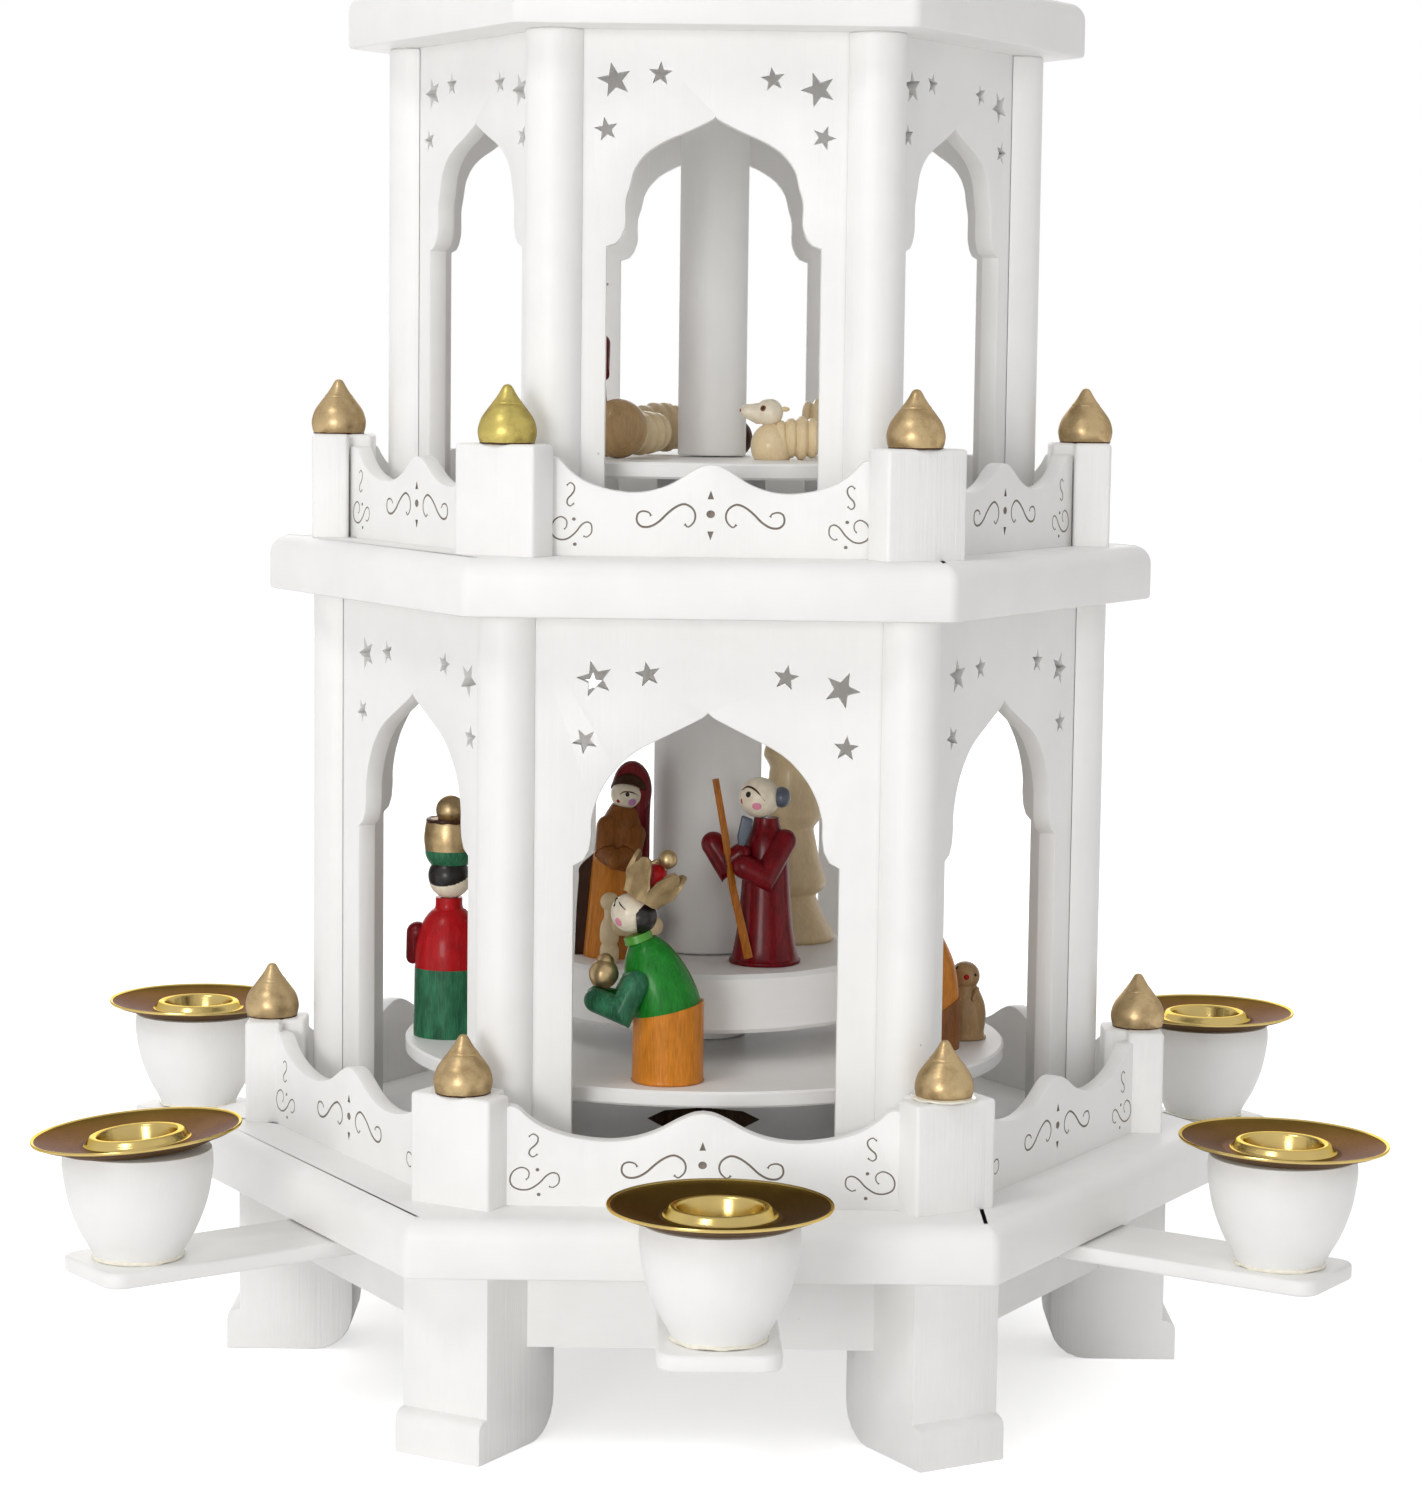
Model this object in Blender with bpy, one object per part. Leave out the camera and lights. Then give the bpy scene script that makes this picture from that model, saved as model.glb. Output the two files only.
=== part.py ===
"""Six-sided candle carousel of painted wood: three open storeys on six legs around a turning centre.

Metres, +Z up, standing on the floor at Z = 0, with the turning axis on Z and the front towards -Y.
The corners of the hexagon, with their legs, columns and posts, lie at 0, 60, 120 degrees and so on.
"""
from collections import namedtuple
import math

import bmesh
import bpy
from mathutils import Matrix, Vector

# General
SIDES = 6
SEAT_GAP = 0.0003
CUT_OVERRUN = 0.002
WELD_DISTANCE = 0.000001
SHARP_ANGLE = math.radians(40)

# Plates, from the base to the roof
PLATE_THICKNESS = 0.0126
PLATE_EDGE_ROUND = 0.0042
PLATE_CORNER_ROUND = 0.0026
ROOF_RADIUS = 0.0680
BASE_HOLE_RADIUS = 0.0135
BASE_HOLE_SIDES = 8

# Lower storey
LOWER_PLATE_RADIUS = 0.1251
LOWER_CLEAR_HEIGHT = 0.1262
LOWER_COLUMN_RING = 0.0870
LOWER_ARCH_HALF_WIDTH = 0.0288
LOWER_ARCH_SHOULDER = 0.0716
LOWER_ARCH_RISE = 0.0335
LOWER_POST_RING = 0.1019
LOWER_BOARD_APOTHEM = 0.0929
LOWER_DISC_RADIUS = 0.0713
LOWER_DISC_LIFT = 0.0209

# Middle storey
MIDDLE_PLATE_RADIUS = 0.1044
MIDDLE_CLEAR_HEIGHT = 0.1130
MIDDLE_COLUMN_RING = 0.0695
MIDDLE_ARCH_HALF_WIDTH = 0.0233
MIDDLE_ARCH_SHOULDER = 0.0664
MIDDLE_ARCH_RISE = 0.0281
MIDDLE_POST_RING = 0.0862
MIDDLE_BOARD_APOTHEM = 0.0765
MIDDLE_DISC_RADIUS = 0.0560
MIDDLE_DISC_LIFT = 0.0196

# Upper storey
UPPER_PLATE_RADIUS = 0.0860
UPPER_CLEAR_HEIGHT = 0.1020
UPPER_COLUMN_RING = 0.0525
UPPER_ARCH_HALF_WIDTH = 0.0172
UPPER_ARCH_SHOULDER = 0.0600
UPPER_ARCH_RISE = 0.0245
UPPER_POST_RING = 0.0684
UPPER_BOARD_APOTHEM = 0.0608
UPPER_DISC_RADIUS = 0.0415
UPPER_DISC_LIFT = 0.0180

Storey = namedtuple(
    "Storey",
    "name plate_radius clear_height column_ring arch_half_width arch_shoulder arch_rise "
    "post_ring board_apothem disc_radius disc_lift",
)
STOREYS = (
    Storey(
        name="lower",
        plate_radius=LOWER_PLATE_RADIUS,
        clear_height=LOWER_CLEAR_HEIGHT,
        column_ring=LOWER_COLUMN_RING,
        arch_half_width=LOWER_ARCH_HALF_WIDTH,
        arch_shoulder=LOWER_ARCH_SHOULDER,
        arch_rise=LOWER_ARCH_RISE,
        post_ring=LOWER_POST_RING,
        board_apothem=LOWER_BOARD_APOTHEM,
        disc_radius=LOWER_DISC_RADIUS,
        disc_lift=LOWER_DISC_LIFT,
    ),
    Storey(
        name="middle",
        plate_radius=MIDDLE_PLATE_RADIUS,
        clear_height=MIDDLE_CLEAR_HEIGHT,
        column_ring=MIDDLE_COLUMN_RING,
        arch_half_width=MIDDLE_ARCH_HALF_WIDTH,
        arch_shoulder=MIDDLE_ARCH_SHOULDER,
        arch_rise=MIDDLE_ARCH_RISE,
        post_ring=MIDDLE_POST_RING,
        board_apothem=MIDDLE_BOARD_APOTHEM,
        disc_radius=MIDDLE_DISC_RADIUS,
        disc_lift=MIDDLE_DISC_LIFT,
    ),
    Storey(
        name="upper",
        plate_radius=UPPER_PLATE_RADIUS,
        clear_height=UPPER_CLEAR_HEIGHT,
        column_ring=UPPER_COLUMN_RING,
        arch_half_width=UPPER_ARCH_HALF_WIDTH,
        arch_shoulder=UPPER_ARCH_SHOULDER,
        arch_rise=UPPER_ARCH_RISE,
        post_ring=UPPER_POST_RING,
        board_apothem=UPPER_BOARD_APOTHEM,
        disc_radius=UPPER_DISC_RADIUS,
        disc_lift=UPPER_DISC_LIFT,
    ),
)

# Columns and arch panels
COLUMN_RADIUS = 0.0065
COLUMN_SIDES = 10
PANEL_THICKNESS = 0.0044
PANEL_HOUSING_SHARE = 0.5
ARCH_SHARES = (
    (1.0, 0.0),
    (0.87, 0.1),
    (0.845, 0.34),
    (0.76, 0.55),
    (0.54, 0.75),
    (0.3, 0.85),
    (0.07, 0.957),
)
BIG_STAR_RADIUS = 0.0040
STAR_POINTS = 5
STAR_WAIST_SHARE = 0.42
BIG_STAR_PLACE_SHARES = ((-0.58, 0.893), (0.65, 0.88))
BIG_STAR_TURNS = (12.0, -20.0)

# Balustrade
POST_WIDTH = 0.0202
POST_DEPTH = 0.0136
POST_HEAD_DEPTH = 0.0084
POST_STEM_WIDTH = 0.0112
POST_HEIGHT = 0.0239
BOARD_THICKNESS = 0.0040
BOARD_HEIGHT = 0.0216
BOARD_HOUSING = 0.0014
BOARD_TOP_SHARES = (
    (1.0, 1.0),
    (0.93, 1.0),
    (0.87, 0.88),
    (0.77, 0.75),
    (0.62, 0.68),
    (0.45, 0.66),
    (0.3, 0.7),
    (0.14, 0.84),
)
BOARD_PEAK_SHARE = 0.95
FINIAL_RADIUS = 0.0064
FINIAL_HEIGHT = 0.0127
FINIAL_OFFSET = 0.0015
FINIAL_ROOT = 0.0008
FINIAL_SIDES = 8
FINIAL_SHARES = ((0.91, 0.0), (1.0, 0.22), (0.88, 0.43), (0.64, 0.61), (0.38, 0.77), (0.17, 0.93), (0.0, 1.0))

# Legs and apron
LEG_HEIGHT = 0.0421
LEG_WIDTH = 0.0220
LEG_OUTER_RADIUS = 0.1100
LEG_DEPTH = 0.0270
FOOT_BULGE = 0.0030
FOOT_HEIGHT = 0.0096
FOOT_HEEL_ROUND = 0.0080
FOOT_SHARES = ((1.0, 0.78), (0.75, 0.93), (0.0, 1.0))
HEEL_SHARES = ((0.0, 1.0), (0.1, 0.5), (0.45, 0.12), (1.0, 0.0))
APRON_APOTHEM = 0.0872
APRON_THICKNESS = 0.0040
APRON_HEIGHT = 0.0199
APRON_SLOT_SPARE = 0.0033

# Candle arms, cups and drip dishes
ARM_WIDTH = 0.0250
ARM_THICKNESS = 0.0036
ARM_INNER_RADIUS = 0.0450
ARM_OUTER_RADIUS = 0.1640
ARM_CORNER_ROUND = 0.0045
ARM_TURNS = (0.5, 0.0, 0.5, 6.3, 1.4, -3.5)
CUP_INSET = 0.0130
CUP_RING = ARM_OUTER_RADIUS - CUP_INSET
CUP_RADIUS = 0.01625
CUP_HEIGHT = 0.0238
CUP_SIDES = 12
CUP_SHARES = ((0.58, 0.0), (0.64, 0.08), (0.8, 0.28), (0.93, 0.52), (1.0, 0.8), (0.97, 1.0))
SOCKET_RADIUS = 0.00855
SOCKET_DEPTH = 0.0135
DISH_SHEET = 0.0006
DISH_RADIUS = 0.02275
DISH_RISE = 0.0032
DISH_WELL_RADIUS = 0.0128
COLLAR_RADIUS = 0.01095
COLLAR_RISE = 0.0033

# Bearings and the turning centre
BRIDGE_LENGTH = 0.0800
BRIDGE_WIDTH = 0.0200
BRIDGE_THICKNESS = 0.0060
BEARING_RADIUS = 0.0050
BEARING_HEIGHT = 0.0080
BEARING_FLANGE = 0.0020
BEARING_FLOOR = 0.0015
SHAFT_RADIUS = 0.0020
SHAFT_SIDES = 12
SHAFT_TIP_LENGTH = 0.0030
BUSH_RADIUS = 0.0050
BUSH_FLANGE = 0.0025
BUSH_FLANGE_THICKNESS = 0.0015
DISC_THICKNESS = 0.0036
DISC_SIDES = 28
HUB_RADIUS = 0.0095
HUB_HEIGHT = 0.0090
PEDESTAL_RADIUS = 0.0400
PEDESTAL_THICKNESS = 0.0136
PEDESTAL_LIFT = 0.0071
LOWER_CENTRE_RADIUS = 0.01275
MIDDLE_CENTRE_RADIUS = 0.0080
UPPER_CENTRE_RADIUS = 0.0060
CENTRE_RADII = (LOWER_CENTRE_RADIUS, MIDDLE_CENTRE_RADIUS, UPPER_CENTRE_RADIUS)
CENTRE_SIDES = 18
CENTRE_CLEARANCE = 0.0015

# Rotor
ROTOR_LIFT = 0.0120
ROTOR_RADIUS = 0.1670
ROTOR_HUB_RADIUS = 0.0170
ROTOR_HUB_HEIGHT = 0.0160
ROTOR_HUB_ROUND = 0.0030
ROTOR_HUB_SIDES = 24
BLADE_COUNT = 12
BLADE_PITCH = math.radians(32)
BLADE_THICKNESS = 0.0018
BLADE_ROOT_RADIUS = 0.0420
BLADE_ROOT_WIDTH = 0.0180
BLADE_TIP_WIDTH = 0.0460
BLADE_CORNER_ROUND = 0.0060
BLADE_OVERLAP = 0.0100
STEM_RADIUS = 0.0025
STEM_SINK = 0.0045
STEM_SIDES = 6
KNOB_RADIUS = 0.0100
KNOB_HEIGHT = 0.0240
KNOB_SHARES = ((0.55, 0.0), (0.62, 0.1), (1.0, 0.38), (0.88, 0.55), (0.5, 0.75), (0.24, 0.9), (0.0, 1.0))
KNOB_HOLE_DEPTH = 0.0080

# Profiles of the turned figures, as shares of their own radius and length
ROBE_SHARES = ((0.95, 0.0), (1.0, 0.06), (0.93, 0.35), (0.8, 0.65), (0.62, 0.85), (0.36, 1.0))
SKIRT_SHARES = ((0.95, 0.0), (1.0, 0.1), (0.97, 1.0))
BUST_SHARES = ((0.9, 0.0), (1.0, 0.25), (0.92, 0.6), (0.66, 0.88), (0.42, 1.0))
BALL_SHARES = ((0.0, 0.0), (0.74, 0.15), (1.0, 0.5), (0.74, 0.85), (0.0, 1.0))
LIMB_SHARES = ((0.0, 0.0), (0.75, 0.12), (1.0, 0.45), (0.8, 0.85), (0.0, 1.0))
CROWN_SHARES = ((0.62, 0.0), (0.75, 0.4), (1.0, 1.0))
STICK_SHARES = ((1.0, 0.0), (1.0, 1.0))
FLEECE_SHARES = (
    (0.45, 0.0),
    (0.86, 0.1),
    (0.8, 0.2),
    (1.0, 0.32),
    (0.88, 0.43),
    (1.0, 0.55),
    (0.86, 0.66),
    (0.94, 0.78),
    (0.5, 1.0),
)
TREE_SHARES = (
    (0.95, 0.0),
    (1.0, 0.04),
    (0.58, 0.2),
    (0.8, 0.266),
    (0.51, 0.465),
    (0.68, 0.52),
    (0.52, 0.715),
    (0.65, 0.76),
    (0.15, 0.97),
    (0.0, 1.0),
)
CHILD_SHARES = ((0.8, 0.0), (0.85, 0.1), (1.0, 0.45), (0.6, 0.7), (0.72, 0.86), (0.0, 1.0))
FIGURE_SIDES = 8
LIMB_SIDES = 6
STICK_SIDES = 4

# Figures
MAN_WITH_STAFF_HEIGHT = 0.0431
HOODED_WOMAN_HEIGHT = 0.0453
MANGER_CHILD_HEIGHT = 0.0153
RING_TREE_HEIGHT = 0.0590
KING_STANDING_HEIGHT = 0.0565
KING_KNEELING_HEIGHT = 0.0518
KING_ROBED_HEIGHT = 0.0530
LAMB_HEIGHT = 0.0187
SHEEP_1_HEIGHT = 0.0140
SHEEP_2_HEIGHT = 0.0136
SHEPHERD_HEIGHT = 0.0450

# A part runs from start to end with its own radius: all as shares of its figure's height
Turned = namedtuple("Turned", "start end radius profile sides")
Figure = namedtuple("Figure", "name height disc place_shares finish parts")


def ball(centre, radius):
    """A head or an orb, as one turned part."""
    x, y, z = centre
    return Turned((x, y, z - radius), (x, y, z + radius), radius, BALL_SHARES, FIGURE_SIDES)


def limb(start, end, radius):
    """An arm, as one turned part."""
    return Turned(start, end, radius, LIMB_SHARES, LIMB_SIDES)


def upright(low, high, radius, profile):
    """A part turned on the figure's own upright axis."""
    return Turned((0.0, 0.0, low), (0.0, 0.0, high), radius, profile, FIGURE_SIDES)


FIGURES = (
    Figure(
        name="man_with_staff",
        height=MAN_WITH_STAFF_HEIGHT,
        disc="pedestal",
        place_shares=(0.33, -0.51),
        finish="dark_red_stain",
        parts=(
            upright(0.0, 0.79, 0.2, ROBE_SHARES),
            ball((-0.05, 0.0, 0.88), 0.115),
            limb((0.13, -0.02, 0.7), (0.02, -0.2, 0.4), 0.07),
            limb((-0.15, -0.04, 0.7), (-0.2, -0.19, 0.42), 0.065),
            limb((0.06, -0.17, 0.42), (-0.21, -0.21, 0.5), 0.055),
            Turned((-0.09, -0.24, 0.02), (-0.28, -0.22, 0.99), 0.022, STICK_SHARES, STICK_SIDES),
        ),
    ),
    Figure(
        name="hooded_woman",
        height=HOODED_WOMAN_HEIGHT,
        disc="pedestal",
        place_shares=(-0.56, -0.33),
        finish="orange_stain",
        parts=(
            upright(0.0, 0.66, 0.165, ROBE_SHARES),
            Turned((0.0, 0.0, 0.36), (0.1, 0.0, 0.78), 0.15, BUST_SHARES, FIGURE_SIDES),
            ball((0.1, 0.0, 0.865), 0.125),
            limb((0.17, -0.04, 0.66), (-0.01, -0.17, 0.38), 0.06),
            limb((-0.09, -0.04, 0.66), (0.01, -0.17, 0.38), 0.06),
        ),
    ),
    Figure(
        name="manger_child",
        height=MANGER_CHILD_HEIGHT,
        disc="pedestal",
        place_shares=(-0.58, -0.61),
        finish="natural_wood",
        parts=(
            upright(0.0, 1.0, 0.17, CHILD_SHARES),
            limb((0.0, 0.0, 0.5), (0.88, 0.0, 0.46), 0.19),
        ),
    ),
    Figure(
        name="ring_tree",
        height=RING_TREE_HEIGHT,
        disc="pedestal",
        place_shares=(0.495, 0.3625),
        finish="natural_wood",
        parts=(upright(0.0, 1.0, 0.18, TREE_SHARES),),
    ),
    Figure(
        name="king_standing",
        height=KING_STANDING_HEIGHT,
        disc="lower",
        place_shares=(-0.855, -0.07),
        finish="red_stain",
        parts=(
            upright(0.0, 0.29, 0.148, SKIRT_SHARES),
            upright(0.28, 0.58, 0.135, BUST_SHARES),
            ball((0.0, 0.0, 0.655), 0.09),
            upright(0.7, 0.87, 0.103, SKIRT_SHARES),
            ball((0.0, 0.0, 0.925), 0.064),
            limb((-0.11, 0.02, 0.5), (-0.11, 0.12, 0.27), 0.055),
            limb((0.11, 0.02, 0.5), (0.08, 0.14, 0.27), 0.055),
        ),
    ),
    Figure(
        name="king_kneeling",
        height=KING_KNEELING_HEIGHT,
        disc="lower",
        place_shares=(-0.123, -0.82),
        finish="green_stain",
        parts=(
            upright(0.0, 0.32, 0.155, SKIRT_SHARES),
            Turned((0.0, 0.0, 0.28), (-0.15, 0.0, 0.66), 0.155, BUST_SHARES, FIGURE_SIDES),
            ball((-0.17, 0.0, 0.72), 0.09),
            Turned((-0.14, 0.0, 0.77), (-0.05, 0.0, 0.92), 0.14, CROWN_SHARES, FIGURE_SIDES),
            ball((-0.03, 0.0, 0.95), 0.05),
            limb((-0.1, -0.1, 0.52), (-0.2, -0.12, 0.2), 0.07),
            limb((-0.18, -0.12, 0.23), (-0.36, -0.05, 0.38), 0.06),
            ball((-0.34, -0.055, 0.41), 0.056),
        ),
    ),
    Figure(
        name="king_robed",
        height=KING_ROBED_HEIGHT,
        disc="lower",
        place_shares=(0.715, -0.196),
        finish="orange_stain",
        parts=(
            upright(0.0, 0.3, 0.165, SKIRT_SHARES),
            Turned((0.0, 0.0, 0.26), (-0.1, 0.0, 0.62), 0.158, BUST_SHARES, FIGURE_SIDES),
            ball((-0.12, 0.0, 0.69), 0.09),
            upright(0.73, 0.88, 0.085, SKIRT_SHARES),
            ball((0.0, 0.0, 0.92), 0.055),
            limb((-0.16, 0.04, 0.5), (-0.18, 0.14, 0.26), 0.055),
            limb((0.06, 0.06, 0.48), (0.02, 0.16, 0.26), 0.055),
        ),
    ),
    Figure(
        name="lamb",
        height=LAMB_HEIGHT,
        disc="lower",
        place_shares=(0.865, -0.03),
        finish="natural_wood",
        parts=(
            upright(0.0, 0.72, 0.27, ROBE_SHARES),
            ball((-0.04, -0.04, 0.79), 0.205),
        ),
    ),
    Figure(
        name="sheep_1",
        height=SHEEP_1_HEIGHT,
        disc="middle",
        place_shares=(0.205, -0.375),
        finish="natural_wood",
        parts=(
            upright(0.0, 0.5, 0.29, SKIRT_SHARES),
            Turned((-0.22, 0.0, 0.37), (0.98, 0.0, 0.37), 0.36, FLEECE_SHARES, FIGURE_SIDES),
            Turned((0.75, 0.0, 0.0), (0.75, 0.0, 0.4), 0.22, SKIRT_SHARES, FIGURE_SIDES),
            limb((0.0, 0.0, 0.4), (0.0, 0.0, 0.95), 0.16),
            ball((0.0, 0.0, 0.78), 0.215),
        ),
    ),
    Figure(
        name="sheep_2",
        height=SHEEP_2_HEIGHT,
        disc="middle",
        place_shares=(-0.34, -0.5),
        finish="natural_wood",
        parts=(
            upright(0.0, 0.5, 0.29, SKIRT_SHARES),
            Turned((-0.35, 0.3, 0.4), (0.3, -0.3, 0.4), 0.345, FLEECE_SHARES, FIGURE_SIDES),
            limb((-0.24, 0.2, 0.4), (-0.24, 0.2, 0.95), 0.16),
            ball((-0.24, 0.2, 0.78), 0.215),
        ),
    ),
    Figure(
        name="shepherd",
        height=SHEPHERD_HEIGHT,
        disc="middle",
        place_shares=(-0.56, -0.16),
        finish="dark_red_stain",
        parts=(
            upright(0.0, 0.74, 0.16, ROBE_SHARES),
            ball((0.0, 0.0, 0.84), 0.11),
            Turned((0.0, 0.0, 0.88), (0.0, 0.0, 0.92), 0.15, SKIRT_SHARES, FIGURE_SIDES),
            upright(0.91, 1.0, 0.09, SKIRT_SHARES),
            limb((-0.1, -0.06, 0.62), (-0.08, -0.18, 0.4), 0.055),
            limb((0.1, -0.06, 0.62), (0.08, -0.18, 0.4), 0.055),
        ),
    ),
)

# Angels on their ring, on the top turntable
ANGEL_COUNT = 3
ANGEL_HEIGHT = 0.0340
ANGEL_RING_RADIUS = 0.0270
ANGEL_RING_WIDTH = 0.0130
ANGEL_RING_THICKNESS = 0.0025
ANGEL_ROBE_SHARE = 0.17
ANGEL_PARTS = (
    upright(-0.01, 0.74, ANGEL_ROBE_SHARE, ROBE_SHARES),
    ball((0.0, 0.0, 0.84), 0.11),
    Turned((-0.06, -0.08, 0.4), (-0.1, -0.24, 0.8), 0.07, STICK_SHARES, STICK_SIDES),
    Turned((-0.06, 0.08, 0.4), (-0.1, 0.24, 0.8), 0.07, STICK_SHARES, STICK_SIDES),
)

# Finishes: linear colour, roughness, metallic
Finish = namedtuple("Finish", "colour roughness metallic")
FINISHES = {
    "white_paint": Finish((0.86, 0.86, 0.85), 0.45, 0.0),
    "bare_wood": Finish((0.55, 0.36, 0.19), 0.7, 0.0),
    "natural_wood": Finish((0.69, 0.51, 0.27), 0.4, 0.0),
    "gold_paint": Finish((0.42, 0.27, 0.08), 0.38, 0.7),
    "brass": Finish((0.62, 0.43, 0.1), 0.2, 1.0),
    "steel": Finish((0.55, 0.56, 0.57), 0.25, 1.0),
    "dark_red_stain": Finish((0.12, 0.005, 0.01), 0.3, 0.0),
    "red_stain": Finish((0.38, 0.008, 0.012), 0.3, 0.0),
    "green_stain": Finish((0.015, 0.19, 0.04), 0.3, 0.0),
    "orange_stain": Finish((0.48, 0.18, 0.015), 0.35, 0.0),
}


# Angles and levels

def corner_turns():
    """Angles of the hexagon's corners."""
    return [math.tau * index / SIDES for index in range(SIDES)]


def side_turns():
    """Angles of the middles of the hexagon's sides."""
    return [turn + math.pi / SIDES for turn in corner_turns()]


def arm_turns():
    """Angles of the candle arms, each set by hand a little off its side's middle."""
    return [turn + math.radians(offset) for turn, offset in zip(side_turns(), ARM_TURNS)]


def storey_floors():
    """Height of each storey's floor, and of the top of the roof plate."""
    floors = [LEG_HEIGHT + PLATE_THICKNESS]
    for storey in STOREYS:
        floors.append(floors[-1] + storey.clear_height + PLATE_THICKNESS)
    return floors


FLOORS = storey_floors()
DISC_TOPS = [floor + storey.disc_lift for floor, storey in zip(FLOORS, STOREYS)]
PEDESTAL_TOP = DISC_TOPS[0] + PEDESTAL_LIFT + PEDESTAL_THICKNESS
ROOF_TOP = FLOORS[-1]
BORE_RADIUS = SHAFT_RADIUS + SEAT_GAP
ROTOR_BOTTOM = ROOF_TOP + ROTOR_LIFT
ROTOR_TOP = ROTOR_BOTTOM + ROTOR_HUB_HEIGHT
SHAFT_TOP = ROTOR_TOP + KNOB_HOLE_DEPTH - SEAT_GAP
BRIDGE_TOP = LEG_HEIGHT - SEAT_GAP
BEARING_BOTTOM = BRIDGE_TOP + SEAT_GAP + BEARING_FLANGE - BEARING_HEIGHT
SHAFT_BOTTOM = BEARING_BOTTOM + BEARING_FLOOR + SEAT_GAP
ARM_BOTTOM = LEG_HEIGHT - SEAT_GAP - ARM_THICKNESS
CUP_TOP = LEG_HEIGHT + CUP_HEIGHT


# Shapes

def lathe(profile, sides, closed=False):
    """Turns a list of (radius, height) points about Z. A closed profile leaves a hole at the axis."""
    bm = bmesh.new()
    verts = [bm.verts.new((radius, 0.0, height)) for radius, height in profile]
    pairs = list(zip(verts, verts[1:]))
    if closed:
        pairs.append((verts[-1], verts[0]))
    edges = [bm.edges.new(pair) for pair in pairs]
    bmesh.ops.spin(
        bm, geom=verts + edges, cent=(0, 0, 0), axis=(0, 0, 1), angle=math.tau, steps=sides, use_merge=True
    )
    bmesh.ops.remove_doubles(bm, verts=bm.verts[:], dist=WELD_DISTANCE)
    bmesh.ops.recalc_face_normals(bm, faces=bm.faces[:])
    return bm


def solid_lathe(profile, sides):
    """A turned solid whose flat ends are closed at the axis."""
    points = list(profile)
    if points[0][0] > 0:
        points.insert(0, (0.0, points[0][1]))
    if points[-1][0] > 0:
        points.append((0.0, points[-1][1]))
    return lathe(points, sides)


def tube(inner, outer, low, high, sides):
    """A straight ring or tube."""
    return lathe([(inner, low), (outer, low), (outer, high), (inner, high)], sides, closed=True)


def rod(radius, low, high, sides):
    """A straight cylinder."""
    return solid_lathe([(radius, low), (radius, high)], sides)


def prism(points, span):
    """Extrudes the flat outline given by 3D points along a vector."""
    bm = bmesh.new()
    face = bm.faces.new([bm.verts.new(point) for point in points])
    extruded = bmesh.ops.extrude_face_region(bm, geom=[face])
    moved = [item for item in extruded["geom"] if isinstance(item, bmesh.types.BMVert)]
    bmesh.ops.translate(bm, verts=moved, vec=span)
    bmesh.ops.recalc_face_normals(bm, faces=bm.faces[:])
    return bm


def box(low, high):
    """A block between two corners."""
    x0, y0, z0 = low
    x1, y1, z1 = high
    return prism([(x0, y0, z0), (x1, y0, z0), (x1, y1, z0), (x0, y1, z0)], (0, 0, z1 - z0))


def mirrored(half):
    """A left-right outline from its right half of (across, up) points, the last one on the middle."""
    return [(across, up) for across, up in half] + [(-across, up) for across, up in reversed(half[:-1])]


def round_edges(bm, edges, width, segments):
    """Rounds edges of a shape."""
    bmesh.ops.bevel(
        bm, geom=edges, offset=width, segments=segments, profile=0.5, affect="EDGES", material=-1
    )
    return bm


def upright_edges(bm):
    """The vertical edges of a shape."""
    return [edge for edge in bm.edges if abs(edge.verts[0].co.z - edge.verts[1].co.z) > WELD_DISTANCE]


def move(bm, matrix):
    """Moves a whole shape."""
    bmesh.ops.transform(bm, matrix=matrix, verts=bm.verts[:])
    return bm


def around(bm, turns):
    """Repeats a shape at each of the angles about Z."""
    source = bm.verts[:] + bm.edges[:] + bm.faces[:]
    copies = [bmesh.ops.duplicate(bm, geom=source)["geom"] for _ in turns[1:]]
    for turn, copy in zip(turns, [source] + copies):
        verts = [item for item in copy if isinstance(item, bmesh.types.BMVert)]
        bmesh.ops.rotate(bm, verts=verts, cent=(0, 0, 0), matrix=Matrix.Rotation(turn, 3, "Z"))
    return bm


def add_shape(target, shape):
    """Adds one shape to another that it doesn't touch."""
    mesh = bpy.data.meshes.new("added")
    shape.to_mesh(mesh)
    shape.free()
    target.from_mesh(mesh)
    bpy.data.meshes.remove(mesh)


# Objects

def make_material(name, finish):
    """One Principled BSDF material from a finish."""
    material = bpy.data.materials.new(name)
    material.use_nodes = True
    shader = material.node_tree.nodes["Principled BSDF"]
    shader.inputs["Base Color"].default_value = (*finish.colour, 1.0)
    shader.inputs["Roughness"].default_value = finish.roughness
    shader.inputs["Metallic"].default_value = finish.metallic
    return material


def make_empty(name):
    """A parent for the pieces of one body, on the turning axis."""
    empty = bpy.data.objects.new(name, None)
    bpy.context.collection.objects.link(empty)
    return empty


def make_mesh(name, bm):
    """A mesh with smooth faces between its sharp edges."""
    mesh = bpy.data.meshes.new(name)
    bm.to_mesh(mesh)
    bm.free()
    mesh.shade_smooth()
    mesh.set_sharp_from_angle(angle=SHARP_ANGLE)
    return mesh


def add(name, mesh, finish, parent, location=(0, 0, 0), turn=0.0):
    """A named sub-part."""
    piece = bpy.data.objects.new(name, mesh)
    bpy.context.collection.objects.link(piece)
    if not mesh.materials:
        mesh.materials.append(None)
    piece.material_slots[0].link = "OBJECT"
    piece.material_slots[0].material = make_material(name, FINISHES[finish])
    piece.location = location
    piece.rotation_euler.z = turn
    piece.parent = parent
    return piece


def add_guide(name, bm):
    """A shape that only cuts or joins a sub-part."""
    guide = bpy.data.objects.new(name, make_mesh(name, bm))
    bpy.context.collection.objects.link(guide)
    guide.hide_render = True
    guide.display_type = "WIRE"
    return guide


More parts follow.
